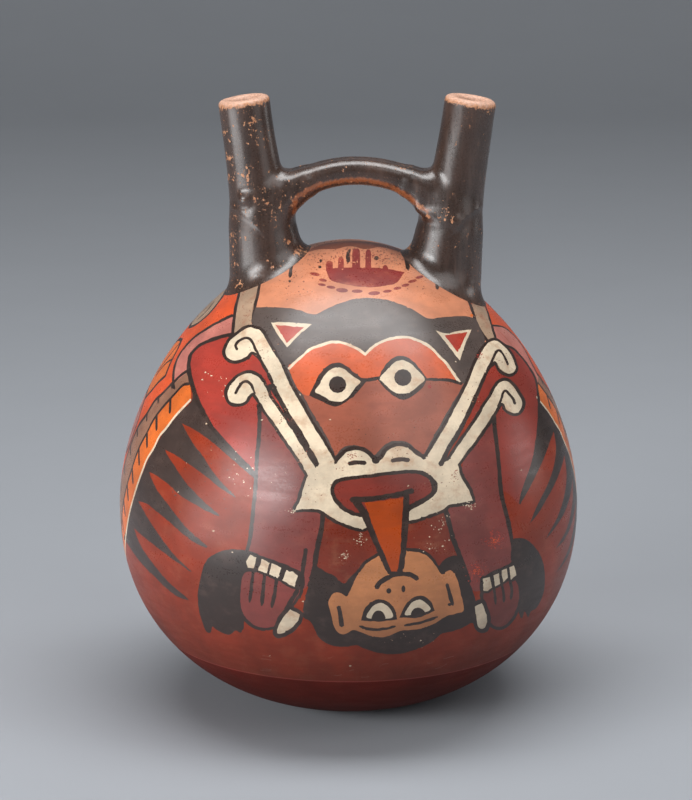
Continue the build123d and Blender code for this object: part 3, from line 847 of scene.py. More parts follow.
HAIR = [
    (314, 567), (325, 571), (335, 576), (344, 583), (352, 575), (366, 562), (380, 552), (400, 556),
    (406, 549), (415, 548), (424, 551), (431, 557), (437, 566), (442, 561), (447, 557), (453, 555.5),
    (458, 557), (463, 566), (467, 578), (471, 588), (475, 600), (478, 612), (475, 622), (470, 622.5),
    (466, 625), (460, 628), (450, 631), (442, 633), (436, 637), (430, 642), (418, 648), (410, 650.5),
    (400, 653), (390, 653.5), (380, 652.5), (370, 650), (362, 647), (357, 644.5), (352, 645), (345, 646),
    (335, 645.5), (327, 643), (320, 638), (316, 632), (313, 625), (309, 620), (303, 616), (304, 604),
    (308, 588),
]
FACE = [
    (380, 556), (374, 558), (368, 562), (363, 567), (358, 574), (354, 581), (351, 588), (348, 594),
    (346, 596), (341, 593), (335, 592), (331, 596), (328.5, 602), (330, 610), (332, 618), (334, 626),
    (338, 632), (343, 633.5), (348, 632), (352, 629.5), (358, 630.5), (364, 633), (371, 635.5),
    (380, 636.5), (388, 635.5), (395, 632.5), (401, 630), (408, 629.5), (418, 628.5), (426, 626),
    (434, 623), (440, 619), (447, 615), (455, 613), (462, 611), (463, 605), (461, 597), (459, 588),
    (456, 578), (451, 570.5), (446, 571), (441, 574), (436, 567), (432, 561), (427, 556), (420, 552.5),
    (412, 551.5), (404, 551), (402, 562), (396, 572), (388, 570),
]
TROPHY_NOSE = [(376, 587), (380, 582), (388, 577), (395, 574), (402, 573.5), (410, 574.5), (417, 578)]
TONGUE_TIP = [(391, 567), (395, 572), (400, 568)]
TROPHY_LEFT_NOSTRIL = (388.5, 590.5, 5, 5.5)
TROPHY_RIGHT_NOSTRIL = (403, 588.5, 4, 7)
TROPHY_LEFT_EAR = [(338.5, 606), (340, 613), (341, 620), (341.5, 625)]
TROPHY_RIGHT_EAR = [(446.5, 584), (448, 590), (450, 597), (452, 604)]
TROPHY_EAR_END = (449, 604, 4, 3)
TROPHY_LEFT_EYE = [
    (361, 620), (361, 620), (363, 611), (367, 605), (372, 601), (378, 599), (385, 600), (391, 604),
    (395, 610), (397, 619), (397, 619), (380, 621),
]
TROPHY_LEFT_WHITE = [
    (366.5, 617), (369, 610), (373, 605.5), (379, 602.5), (385, 604), (390, 609), (392, 617), (379, 618),
]
TROPHY_LEFT_PUPIL = [
    (371, 618.5), (372.5, 614), (376, 610.5), (380, 610), (383.5, 612.5), (385, 618.5), (378, 619.5),
]
TROPHY_RIGHT_EYE = [
    (399, 617), (399, 617), (403, 608), (408, 601), (413, 597), (419, 595), (426, 597), (431, 602),
    (434, 610), (434, 610), (418, 617),
]
TROPHY_RIGHT_WHITE = [
    (405, 614.5), (407, 608), (411, 602.5), (417, 599.5), (422, 600), (427, 604), (429.5, 609.5),
    (418, 613.5),
]
TROPHY_RIGHT_PUPIL = [
    (411, 615), (412, 610), (415.5, 607), (419, 607), (422.5, 609), (424, 612), (418, 615),
]
TROPHY_LEFT_LID = [(359, 625.5), (366, 628), (376, 629), (386, 628), (395, 625.5)]
TROPHY_RIGHT_LID = [(404, 625), (412, 623.5), (420, 622), (428, 619.5), (437, 616.5)]


def paint_trophy():
    """The head that hangs from the tongue, upside down, with its hair below."""
    fill("black", HAIR)
    edged("trophy", FACE, 6.0)
    line(TROPHY_NOSE, 5.0)
    line(TONGUE_TIP, 5.0)
    dab("black", *TROPHY_LEFT_NOSTRIL)
    dab("black", *TROPHY_RIGHT_NOSTRIL)
    line(TROPHY_LEFT_EAR, 4.4)
    line(TROPHY_RIGHT_EAR, 3.6)
    dab("black", *TROPHY_EAR_END)
    fill("black", TROPHY_LEFT_EYE)
    fill("cream", TROPHY_LEFT_WHITE)
    fill("black", TROPHY_LEFT_PUPIL)
    fill("black", TROPHY_RIGHT_EYE)
    fill("cream", TROPHY_RIGHT_WHITE)
    fill("black", TROPHY_RIGHT_PUPIL)
    line(TROPHY_LEFT_LID, 2.8, ends=(0.5, 0.6))
    line(TROPHY_RIGHT_LID, 2.8, ends=(0.5, 0.6))


LEFT_CUFF = [
    (213, 555), (222, 551), (232, 549), (245, 550), (256, 553), (266, 557), (280, 562), (296, 569),
    (304, 575), (300, 590), (262, 575), (247, 572), (243, 580), (241, 590), (240, 600), (241, 610),
    (244, 620), (244, 627), (241, 632), (236, 630), (230, 634), (222, 632), (217, 629), (213, 626),
    (211, 632), (207, 631), (203, 622), (200, 612), (198.5, 600), (198.5, 590), (201, 578), (204, 567),
    (208, 559),
]
LEFT_HAND = [
    (243, 576), (250, 571), (262, 574), (276, 579), (294, 588), (300, 590), (293, 602), (284, 614),
    (278, 624), (268, 627), (258, 626), (250, 621), (244, 614), (241, 604), (241, 590),
]
LEFT_THUMB = [
    (290.5, 609), (290.5, 609), (300, 614), (300, 614), (298, 620), (292, 627), (284, 632), (278, 633),
    (278, 628), (281, 621), (284, 616),
]
RIGHT_CUFF = [
    (511, 541), (520, 538), (528, 541), (534, 547), (540, 556), (543, 566), (544, 578), (543, 590),
    (540, 600), (535, 608), (530, 611), (527, 617), (524, 611), (521, 618), (518, 612), (517, 600),
    (517, 580), (502, 584), (488, 592), (480, 594), (480, 580), (490, 572), (503, 566), (511, 560),
]
RIGHT_HAND = [
    (484, 590), (492, 588), (503, 583), (512, 579), (517, 585), (518, 598), (515, 610), (510, 619),
    (503, 625), (496, 626), (490, 622), (487, 612), (483, 600),
]
RIGHT_THUMB = [
    (474, 606), (474, 606), (481, 602.5), (481, 602.5), (484, 610), (486, 617), (486, 622), (484, 627),
    (480, 628), (477, 625), (476, 617),
]
NAILS = [
    [(250.5, 554.5), (257, 557), (254, 568), (248, 567.5), (246.5, 561)],
    [(262, 558.5), (270, 562.5), (267, 573), (258.5, 570)],
    [(272, 563), (281.5, 567.5), (278, 578), (269.5, 574)],
    [(286.5, 569.5), (293, 571), (298, 575.5), (294.5, 586.5), (282.5, 580)],
    [(482, 578.5), (489, 576.5), (491, 587), (487, 590.5), (483, 590.5)],
    [(492.5, 575), (498, 573), (499.5, 583.5), (494.5, 586)],
    [(500.5, 570), (506.5, 568), (507, 577), (502.5, 582)],
    [(508.5, 567), (513, 565), (515.5, 575), (510, 579.5)],
]
LEFT_FINGERS = [
    ([(254, 568), (252, 584), (250, 602)], 3.2), ([(265, 573), (263.5, 588), (262, 605)], 3.4),
    ([(277, 578), (275, 592), (272, 607)], 3.6),
]
RIGHT_FINGERS = [
    [(493, 587), (494, 596), (495, 604)], [(501, 584), (503, 594), (503, 602)],
    [(509, 580), (511, 590), (510, 599)],
]
LEFT_WRIST = [(306, 549), (303, 568), (300, 584), (294, 596), (286, 609)]


def paint_hands():
    """Hands with pale nails, each beside a black tassel."""
    fill("black", LEFT_CUFF)
    fill("black", RIGHT_CUFF)
    edged("arm", LEFT_HAND)
    edged("hand", RIGHT_HAND)
    for finger, width in LEFT_FINGERS:
        line(finger, width, ends=(1, 0.5))
    line(LEFT_WRIST, 4.4)
    for finger in RIGHT_FINGERS:
        line(finger, 2.8, ends=(1, 0.4))
    edged("cream", LEFT_THUMB, THUMB_EDGE)
    edged("cream", RIGHT_THUMB, THUMB_EDGE)
    for nail in NAILS:
        corners = [p for p in nail for _ in range(2)]
        line(corners + corners[:1], NAIL_EDGE, closed=True)
        fill("cream", corners)


# A darker band along the top of the crown, behind the fan
CROWN_TOP_DARK = [
    (306, 254), (320, 247), (335, 244), (352, 243), (370, 244), (390, 247), (406, 254), (395, 252),
    (380, 249), (365, 251), (350, 248), (335, 251), (320, 251),
]
FAN = [
    (326, 270), (326, 270), (345, 268.5), (365, 268.5), (385, 269.5), (404, 273), (404, 273), (397, 283),
    (388, 286), (372, 288), (355, 287), (340, 284), (330, 280),
]
FAN_RAYS = [
    (326, 333, 272, 262), (338, 344, 271, 258), (352, 360, 271, 250.5), (365, 371, 271, 251.5),
    (382, 388, 272, 266),
]
FAN_DASHES = [
    (315, 275, 10, 3.5), (323, 281, 8, 3), (322, 285.5, 8, 2.6), (331, 288, 9, 3), (342, 291, 12, 4.6),
    (357, 292, 11, 3.5), (374, 294, 12, 4), (387, 292, 9, 3), (397, 289, 8, 3), (405, 286, 8, 3),
    (412, 282, 9, 3), (419, 278, 8, 2.8),
]
DASH_LEAN, FAN_MIDDLE = 0.004, 360
LEFT_DRIP = [(292, 266), (291, 272), (290, 278)]
LEFT_DRIP_END = (290, 282, 2.6, 2.4)
UPPER_DOT = (321, 262, 3, 3)
LOWER_DOT = (320, 268, 3.4, 2.6)
FAN_MARK = [(350, 251), (348, 256), (348, 263)]
FAN_SPOT = (376, 259.5, 5, 4)
RIGHT_MARK = [(403, 255), (406, 262), (408, 271)]
RIGHT_DRIP = [(434, 276), (436, 283), (437, 290)]
STRAP_FLECK = (471, 316, 3, 2.6)


def paint_fan():
    """On the crown: a maroon fan over a row of dashes, with loose black touches and a darker patch behind.
    """
    fill("crown_dark", CROWN_TOP_DARK)
    fill("maroon", FAN)
    for a, b, y, top in FAN_RAYS:
        fill("maroon", [
            (a, y), (a, y), (a + 0.5, top + 2), ((a + b) / 2, top), (b - 0.5, top + 2), (b, y), (b, y),
        ])
    for x, y, wide, high in FAN_DASHES:
        dab("maroon", x, y, wide, high, DASH_LEAN * (FAN_MIDDLE - x))
    line(LEFT_DRIP, 3.6, ends=(1, 0.5))
    dab("black", *LEFT_DRIP_END)
    dab("black", *UPPER_DOT)
    dab("black", *LOWER_DOT)
    line(FAN_MARK, 4.0, ends=(0.4, 0.8))
    dab("black", *FAN_SPOT)
    line(RIGHT_MARK, 5.0, ends=(0.8, 0.3))
    line(RIGHT_DRIP, 4.0, ends=(1, 0.5))
    dab("band", *STRAP_FLECK)


LEFT_FOOT = [
    (229, 280), (230, 288), (235, 292.5), (241, 291.5), (248, 287), (256, 283), (262, 280), (268, 278),
    (281, 270), (292, 266), (302, 259), (308, 250), (290, 240), (250, 245),
]
RIGHT_FOOT = [
    (405, 250), (410, 259), (420, 266), (430, 273), (440, 279), (452, 286), (460, 289), (468, 292),
    (477, 292.5), (481, 287), (482, 275), (465, 245), (430, 240),
]


def paint_feet():
    """Black slip that the spouts' coat runs into, round each foot."""
    fill("black", LEFT_FOOT)
    fill("black", RIGHT_FOOT)


SPECKS = [
    (179, 492), (214, 531), (303, 601), (442, 546), (449, 540), (206, 373), (212, 376), (203, 380),
    (262, 420), (233, 552), (408, 486), (330, 420), (455, 362), (300, 395), (420, 640), (350, 665),
    (270, 655), (520, 470), (244, 482), (207, 424),
]
# Darker brown sprays make the crown top darker under the bridge and by the spouts' feet
SPRAYS = [
    ("cream", 345, 556, 5, 4, 26), ("cream", 360, 538, 6, 8, 24), ("cream", 468, 505, 7, 4, 26),
    ("cream", 294, 511, 6, 3, 18), ("cream", 440, 522, 20, 22, 30), ("cream", 250, 480, 36, 26, 22),
    ("cream", 222, 378, 18, 16, 10), ("cream", 430, 545, 14, 12, 14), ("cheek", 454, 477, 6, 9, 26),
    ("cheek", 352, 455, 10, 5, 22), ("cheek", 341, 466, 12, 7, 12), ("cheek", 297, 452, 10, 16, 12),
    ("umber", 268, 396, 8, 10, 20), ("umber", 280, 416, 9, 14, 20), ("umber", 262, 352, 10, 10, 22),
    ("umber", 500, 362, 9, 12, 10), ("umber", 470, 400, 10, 24, 12), ("umber", 440, 486, 22, 14, 10),
    ("umber", 318, 490, 16, 16, 14), ("umber", 400, 452, 14, 5, 12), ("ear", 493, 540, 9, 9, 90),
    ("vermilion", 493, 540, 5, 5, 26), ("ear", 476, 571, 9, 9, 90), ("vermilion", 476, 571, 5, 5, 26),
    ("lobe", 478, 357, 4, 5, 22), ("crown_dark", 350, 258, 46, 9, 70), ("umber", 402, 262, 22, 8, 40),
    ("crown_dark", 312, 262, 14, 9, 34), ("crown_dark", 420, 285, 26, 14, 20), ("black", 368, 430, 40, 16, 9),
    # The greyer flecks on the left wing are worn scuffs and painted sheen together
    ("umber", 405, 425, 26, 14, 8), ("crown_dark", 300, 292, 26, 9, 18), ("cap", 205, 470, 34, 44, 40),
    ("cap", 160, 500, 22, 36, 30), ("umber", 388, 262, 12, 8, 30), ("tan", 402, 640, 40, 8, 14),
    ("umber", 246, 308, 7, 14, 30), ("umber", 480, 315, 6, 14, 26), ("crown_dark", 328, 257, 30, 8, 60),
    ("crown_dark", 388, 260, 28, 9, 70), ("maroon", 378, 256, 20, 6, 34), ("crown", 345, 262, 28, 9, 60),
    ("crown_dark", 296, 276, 18, 10, 26), ("umber", 372, 252, 34, 6, 40),
]
SCRATCHES = [("cheek", 250, 470, 652, 676, 12)]
WEAR_SEED, FLECK_CORNERS, SPECK_SIZE, FLECK_SIZES = 5, 7, 1.5, (0.45, 1.3)
FLECK_REACH, FLECK_FLAT = (0.4, 1.0), 0.8
SCRATCH_WIDTH, SCRATCH_LEAST, SCRATCH_MOST = 0.6, (2, -0.5), (6, 0.5)


def fleck(slip, x, y, size, draw):
    """A small spot with an uneven edge, in pixels."""
    turn = np.sort(draw.uniform(0, 2 * math.pi, FLECK_CORNERS))
    reach = size * draw.uniform(*FLECK_REACH, FLECK_CORNERS)
    lay(slip, from_pixels(np.stack([x + reach * np.cos(turn), y + FLECK_FLAT * reach * np.sin(turn)], 1)))


def paint_wear():
    """Stray pale specks, sprays of flecks, most where a slip has flaked, darker ones on the crown top, and
    faint scratches low down.
    """
    draw = np.random.default_rng(WEAR_SEED)
    for x, y in SPECKS:
        fleck("cream", x, y, SPECK_SIZE, draw)
    for slip, x, y, wide, high, count in SPRAYS:
        for across, down in draw.normal(0, 0.5, (count, 2)):
            fleck(slip, x + wide * across, y + high * down, draw.uniform(*FLECK_SIZES), draw)
    for slip, left, right, top, low, count in SCRATCHES:
        for _ in range(count):
            x, y, reach, lean = draw.uniform((left, top, *SCRATCH_LEAST), (right, low, *SCRATCH_MOST))
            bow = draw.uniform(-1.0, 1.0)
            fall = lean * reach
            line([(x - reach, y - fall), (x, y + bow), (x + reach, y + fall)], SCRATCH_WIDTH, slip)


for layer in (
    paint_ground, paint_bands, paint_wings, paint_shoulders, paint_straps, paint_head, paint_chest,
    paint_mask, paint_trophy, paint_tongue, paint_hands, paint_fan, paint_wear, paint_feet,
):
    layer()


# Painted film: the outlines become one flat mesh in the chart, and each triangle takes the topmost slip
def winding(polygon, spots):
    """How often a closed outline goes round each spot."""
    a, b = polygon, np.roll(polygon, -1, axis=0)
    made = []
    for part in np.array_split(spots, max(1, len(spots) * len(polygon) // WINDING_BLOCK)):
        x, y = part[:, :1], part[:, 1:]
        turn = (b[:, 0] - a[:, 0]) * (y - a[:, 1]) - (x - a[:, 0]) * (b[:, 1] - a[:, 1])
        rising = (a[:, 1] <= y) & (b[:, 1] > y) & (turn > 0)
        falling = (a[:, 1] > y) & (b[:, 1] <= y) & (turn < 0)
        made.append(rising.sum(1) - falling.sum(1))
    return np.concatenate(made)


def rings(step):
    """Evenly spread chart places all over the chamber."""
    made = []
    runs = np.arange(step / 2, line_run[-1], step * RING_SPACING)
    for i, run in enumerate(runs):
        r, log_rho = np.interp(run, line_run, line_r), np.interp(run, line_run, line_log)
        count = max(5, int(round(2 * math.pi * r / step)))
        angle = (np.arange(count) + 0.5 * (i % 2)) * 2 * math.pi / count
        made.append(np.exp(log_rho) * np.stack([np.sin(angle), -np.cos(angle)], 1))
    return np.concatenate(made)


def spout_frame(side):
    """Middle of a spout's mouth and the direction out of it."""
    middle = np.array([side * RIM_SPREAD / 2 + RIM_SHIFT, 0, RIM_HEIGHT])
    return middle, np.array([side * math.sin(LEAN[side]), 0, math.cos(LEAN[side])])


def spout_hole(side, radius, count=96):
    """Chart outline on the dome at a distance from a spout's axis."""
    middle, out = spout_frame(side)
    turn = np.arange(count) * 2 * math.pi / count
    across = np.array([out[2], 0, -out[0]])
    p = middle - out * FOOT_DROP[side] + radius * (
        np.cos(turn)[:, None] * across + np.sin(turn)[:, None] * np.array([0, 1.0, 0])
    )
    for _ in range(HOLE_PULLS):
        gap, _, slope_z = gauge_at(p)
        p = p - out * (gap / np.maximum(HOLE_SLOPE, slope_z))[:, None]
    return to_chart(p)


def circle_at(height, count=160):
    """Chart outline of a level circle round the chamber."""
    turn = np.arange(count) * 360 / count
    return to_chart(from_round(np.stack([turn, np.full(count, height)], 1)))


def triangulate(loops, loose):
    """Flat triangles through closed loops and loose places, kept inside the foot and outside the holes."""
    places, edges, first = [], [], 0
    for loop in loops:
        n = len(loop)
        places.append(loop)
        edges += [(first + i, first + (i + 1) % n) for i in range(n)]
        first += n
    flat = np.concatenate(places + [loose])
    made = delaunay_2d_cdt([Vector(p) for p in flat.tolist()], edges, [], 0, CHART_MERGE)
    chart = np.array([tuple(p) for p in made[0]])
    triangles = np.array(made[2])
    spots = chart[triangles].mean(1)
    keep = winding(loops[0], spots) != 0
    for hole in loops[1:3]:
        keep &= winding(hole, spots) == 0
    return chart, triangles[keep], made[3]


def borders(faces, count):
    """Directed edges that belong to one face only, among this many points."""
    corners = faces.shape[1]
    edges = np.concatenate([faces[:, [i, (i + 1) % corners]] for i in range(corners)])
    code = edges.min(1).astype(np.int64) * count + edges.max(1)
    _, where, times = np.unique(code, return_inverse=True, return_counts=True)
    return edges[times[where] == 1]


def compact(faces, count):
    """The points that faces use, of this many, and the faces renumbered for them."""
    used = np.unique(faces)
    number = np.full(count, -1)
    number[used] = np.arange(len(used))
    return used, number[faces]


def lifted(points, normals, height):
    """Points on the chamber raised by a height, and a little more on the crown."""
    crown = CROWN_LIFT * (1 - smooth(*CROWN_SPAN, np.hypot(points[:, 0], points[:, 1])))
    return points + (height + crown)[:, None] * normals


def loops_of(follow):
    """Closed loops of points, from what follows each point."""
    made, left = [], set(follow)
    while left:
        at = min(left)
        loop = []
        while at in left:
            left.discard(at)
            loop.append(at)
            at = follow[at]
        made.append(loop)
    return made


def topmost(spots):
    """Number of the slip that was painted last over each chart place."""
    names = list(SLIPS)
    slot = np.full(len(spots), -1)
    for slip, shape in reversed(paint):
        low, high = shape.min(0), shape.max(0)
        near = np.flatnonzero((slot < 0) & (spots > low).all(1) & (spots < high).all(1))
        if len(near):
            near = near[winding(shape, spots[near]) != 0]
            slot[near] = names.index(slip)
    return np.where(slot < 0, BASE_SLOT, slot)


def mesh_object(name, points, faces, slots, normals, materials):
    """A smooth mesh in metres with given normals, one material slot for each number in slots."""
    mesh = bpy.data.meshes.new(name)
    mesh.from_pydata((points * MM).tolist(), [], faces)
    for material in materials:
        mesh.materials.append(material)
    mesh.polygons.foreach_set("material_index", np.asarray(slots, np.int32))
    mesh.polygons.foreach_set("use_smooth", np.ones(len(faces), bool))
    unit = normals / np.linalg.norm(normals, axis=1)[:, None]
    mesh.normals_split_custom_set_from_vertices(unit.tolist())
    mesh.update()
    made = bpy.data.objects.new(name, mesh)
    bpy.context.collection.objects.link(made)
    return made


def painted_film(materials):
    """Closed thin film of slip over the chamber, one slot for each colour."""
    holes = [spout_hole(-1, HOLE_RADIUS), spout_hole(1, HOLE_RADIUS)]
    loops = [circle_at(FOOT_EDGE)] + holes + [shape for _, shape in paint]
    drawn = from_chart(np.concatenate(loops))[0]
    tree = kdtree.KDTree(len(drawn))
    for i, p in enumerate(drawn.tolist()):
        tree.insert(p, i)
    tree.balance()
    loose = rings(GRID_STEP)
    clear = [tree.find(p)[2] > GRID_CLEAR for p in from_chart(loose)[0].tolist()]
    chart, outer, _ = triangulate(loops, loose[np.array(clear)])
    slot = topmost(chart[outer].mean(1))
    used, outer = compact(outer, len(chart))
    chart = chart[used]
    edge = borders(outer, len(chart)).tolist()
    rims = loops_of({a: b for a, b in edge})
    rims.sort(key=lambda loop: -np.hypot(*chart[loop].T).max())
    inner_chart, inner, source = triangulate([chart[loop] for loop in rims], rings(INNER_STEP))
    order = [i for loop in rims for i in loop]
    points, normals, _ = from_chart(chart)
    inner_points, inner_normals, _ = from_chart(inner_chart)
    at_rim = {}
    for i, origins in enumerate(source):
        for origin in origins:
            if origin < len(order):
                at_rim[order[origin]] = i + len(points)
    walls = [(b, a, at_rim[a], at_rim[b]) for a, b in edge]
    faces = outer.tolist() + (inner[:, ::-1] + len(points)).tolist() + walls
    slots = np.concatenate([slot, np.full(len(inner) + len(walls), BASE_SLOT)])
    both = [lifted(points, normals, FILM_OUT), lifted(inner_points, inner_normals, FILM_IN)]
    outward = np.concatenate([normals, -inner_normals])
    return mesh_object("painted_slip", np.concatenate(both), faces, slots, outward, materials)


# Black coat over the spouts and the bridge, from a field that is below zero inside
def soft_min(a, b, k):
    """The lower of two fields, rounded where they are within k of each other."""
    h = np.maximum(k - np.abs(a - b), 0) / k
    return np.minimum(a, b) - h * h * k / 4


def soft_max(a, b, k):
    """The higher of two fields, rounded in the same way."""
    return -soft_min(-a, -b, k)


def along_spout(p, side):
    """Distance below a spout's mouth and from its axis."""
    middle, out = spout_frame(side)
    rel = p - middle
    up = rel @ out
    return -up, np.sqrt(np.maximum((rel * rel).sum(-1) - up * up, 0))


def waver(p, depth, size, seed):
    """Slow unevenness of hand-built clay, of about this depth either way."""
    x, y, z = p[..., 0] / size, p[..., 1] / size, p[..., 2] / size
    return depth * ((
        np.sin(1.3 * x + 0.7 * y + 0.9 * z + seed)
        + np.sin(0.6 * x - 1.5 * y + 1.1 * z + 2.3 * seed)
        + np.sin(-0.9 * x + 0.8 * y + 1.6 * z + 3.7 * seed)
    ) / 3)


def strap_field(p):
    """Field of the bridge's arch with its luting bands."""
    span = RIM_SPREAD / 2 - (RIM_HEIGHT - ARCH_END) * math.tan((LEAN[-1] + LEAN[1]) / 2)
    rise = ARCH_TOP - ARCH_END
    radius = (span**2 + rise**2) / (2 * rise)
    half = math.asin(span / radius)
    x, z = p[..., 0] - RIM_SHIFT, p[..., 2] - ARCH_TOP + radius
    turn, reach = np.abs(np.arctan2(x, z)), np.hypot(x, z) - radius
    growth = np.minimum(turn / half, 1) ** 2
    touch = math.asin((span - LUTE_SPOUT) / radius)
    edge = touch - BAND_LENGTH / radius
    margin = COAT + (BAND_LIP + BAND_OVER) * smooth(edge - BAND_EASE, edge, turn)
    margin = margin + (BAND_SPREAD - BAND_LIP) * smooth(edge, touch, turn)
    wide = (STRAP_WIDTH + (STRAP_END_WIDTH - STRAP_WIDTH) * growth) / 2 + margin
    thick = (STRAP_THICKNESS + (STRAP_END_THICKNESS - STRAP_THICKNESS) * growth) / 2 + margin
    ridges = sum(np.exp(-(((p[..., 1] - place) / size) ** 2)) for place, size in RIDGES)
    thick = thick + STRAP_RIDGE * ridges
    corner = STRAP_ROUND * 2 * thick
    across, out = np.abs(p[..., 1]) - wide + corner, np.abs(reach) - thick + corner
    inside = np.minimum(np.maximum(across, out), 0)
    box = np.hypot(np.maximum(across, 0), np.maximum(out, 0)) + inside - corner
    return np.maximum(box, (turn - half) * radius)


def smear(p, a, b, radius):
    """A round-ended stroke of clay from a to b."""
    a, b = np.array(a), np.array(b)
    t = np.clip(((p - a) @ (b - a)) / ((b - a) @ (b - a)), 0, 1)
    return np.linalg.norm(p - a - t[..., None] * (b - a), axis=-1) - radius


def spout_size(drop, foot):
    """A spout's radius at a distance below its mouth, as in the CAD."""
    slope = (NECK_RADIUS - RIM_RADIUS) / NECK_DROP
    bend = ((HEEL_RADIUS - RIM_RADIUS) / foot - slope) / (foot - NECK_DROP)
    d = np.clip(drop, 0, foot)
    return RIM_RADIUS + (slope - bend * NECK_DROP) * d + bend * d * d


def shifted(look, side):
    """A waver with another seed for each spout."""
    depth, size, seed = look
    return depth, size, side + seed


def coat_field(p):
    """Field of the whole coat: bridge, spouts, smears and the dome it runs into, less the bores."""
    body = strap_field(p) + waver(p, *STRAP_WAVER)
    mouths = []
    for side in (-1, 1):
        drop, reach = along_spout(p, side)
        foot = FOOT_DROP[side]
        margin = COAT + COLLAR_COAT * smooth(foot - COLLAR_SPAN[0], foot - COLLAR_SPAN[1], drop)
        tube = reach - spout_size(drop, foot) - margin + waver(p, *shifted(TUBE_WAVER, side))
        tube = soft_max(tube, -drop - COAT + waver(p, *shifted(LIP_WAVER, side)), LIP_BLEND)
        body = soft_min(body, tube, STRAP_BLEND)
        mouths.append(soft_min(BORE_RADIUS - COAT_IN_BORE - reach, BORE_END - drop, BORE_BLEND))
    for a, b, radius in SMEARS:
        body = soft_min(body, smear(p, a, b, radius) + waver(p, *SMEAR_WAVER), SMEAR_BLEND)
    body = soft_min(body, gauge_at(p)[0] + COAT_DIVE, FOOT_BLEND)
    for bore in mouths:
        body = soft_max(body, bore, LIP_BLEND)
    return body


def surface_nets(field, low, step):
    """Quads round the zero level of a grid of samples."""
    inside = field < 0
    cells = tuple(n - 1 for n in field.shape)

    def corner(values, shift):
        return values[tuple(slice(s, s + n) for s, n in zip(shift, cells))]

    total, hits = np.zeros(cells + (3,)), np.zeros(cells)
    for axis in range(3):
        for other in ((0, 0), (0, 1), (1, 0), (1, 1)):
            start = list(other)
            start.insert(axis, 0)
            end = list(start)
            end[axis] = 1
            a, b = corner(field, start), corner(field, end)
            cross = (a < 0) != (b < 0)
            t = np.where(cross, a / np.where(cross, a - b, 1), 0)
            for k in range(3):
                total[..., k] += np.where(cross, start[k] + (t if k == axis else 0), 0)
            hits += cross
    active = hits > 0
    number = np.full(cells, -1)
    number[active] = np.arange(active.sum())
    where = np.argwhere(active)
    points = low + step * (where + total[active] / hits[active][:, None])
    quads = []
    for axis in range(3):
        b, c = (axis + 1) % 3, (axis + 2) % 3
        ahead = [slice(None)] * 3
        ahead[axis] = slice(1, None)
        behind = [slice(None)] * 3
        behind[axis] = slice(None, -1)
        flips = inside[tuple(behind)] != inside[tuple(ahead)]
        spots = np.argwhere(flips)
        beside = spots[:, [b, c]]
        spots = spots[((beside > 0) & (beside < [cells[b], cells[c]])).all(1)]
        ring = []
        for db, dc in ((-1, -1), (0, -1), (0, 0), (-1, 0)):
            cell = spots.copy()
            cell[:, b] += db
            cell[:, c] += dc
            ring.append(number[tuple(cell.T)])
        ring = np.stack(ring, 1)
        outward = inside[tuple(spots.T)]
        ring[~outward] = ring[~outward][:, ::-1]
        quads.append(ring)
    return points, np.concatenate(quads)


def field_slope(p, field, reach=0.05):
    """Slope of a field at points, by a small step each way."""
    made = np.empty_like(p)
    for k in range(3):
        step = np.zeros(3)
        step[k] = reach
        made[:, k] = (field(p + step) - field(p - step)) / (2 * reach)
    return made


def near_spot(column, row, x, y, size):
    """1 at a spot in pixels, falling away over its size."""
    return np.exp(-((column - x) ** 2 + (row - y) ** 2) / (2 * size**2))


def coat_marks(points, normals):
    """How bare, worn and rubbed the coat is at points."""
    spots = [along_spout(points, side) for side in (-1, 1)]
    drop = np.minimum(*[np.where(reach < SPOUT_NEAR, drop, NOT_NEAR) for drop, reach in spots])
    inside = np.minimum(*[reach for _, reach in spots]) < BORE_SKIN
    column, row = to_pixels(points)
    worn, rubbed = np.zeros(len(points)), np.zeros(len(points))
    for x, y, size, share in WORN_SPOTS:
        worn = np.maximum(worn, share * near_spot(column, row, x, y, size))
    for x, y in spread(WORN_EDGE, RUB_STEP, False):
        rubbed = np.maximum(rubbed, near_spot(column, row, x, y, RUB_WIDTH))
    away = normals[:, 1] > REAR_FACING
    least = np.where(column < AXIS_COLUMN, LEFT_WEAR, RIGHT_WEAR)
    worn = np.where(away, REAR_WEAR, np.maximum(worn, least))
    rubbed[away] = 0
    return {"bare": drop - np.where(inside, BARE_INSIDE, BARE_OUTSIDE), "worn": worn, "rubbed": rubbed}


def black_coat(material):
    """Closed thin shell of black slip over spouts, collars, bridge and lutes."""
    low, high = np.array(COAT_LOW), np.array(COAT_HIGH)
    axes = [np.arange(a, b, COAT_STEP) for a, b in zip(low, high)]
    grid = np.stack(np.meshgrid(*axes, indexing="ij"), -1)
    points, quads = surface_nets(coat_field(grid), low, COAT_STEP)
    for _ in range(COAT_PULLS):
        slope = field_slope(points, coat_field)
        steep = np.maximum((slope * slope).sum(1), SLOPE_LEAST)
        points = points - slope * (coat_field(points) / steep)[:, None]
    normals = field_slope(points, coat_field)
    normals /= np.linalg.norm(normals, axis=1)[:, None]
    deep = gauge_at(points)[0] < COAT_HIDDEN
    for side in (-1, 1):
        drop, reach = along_spout(points, side)
        deep |= (drop > BORE_COAT) & (reach < BORE_KEPT)
    used, quads = compact(quads[~deep[quads].all(1)], len(points))
    points, normals = points[used], normals[used]
    n = len(points)
    edge = borders(quads, n)
    walls = np.stack([edge[:, 1], edge[:, 0], edge[:, 0] + n, edge[:, 1] + n], 1)
    faces = np.concatenate([quads, quads[:, ::-1] + n, walls])
    shell = np.concatenate([points, points - COAT_SKIN * normals])
    made = mesh_object("black_slip_coat", shell, faces.tolist(), np.zeros(len(faces)),
                       np.concatenate([normals, -normals]), [material])
    for name, values in coat_marks(shell, np.concatenate([normals, normals])).items():
        mark = made.data.attributes.new(name, "FLOAT", "POINT")
        mark.data.foreach_set("value", values.astype(np.float32))
    return made


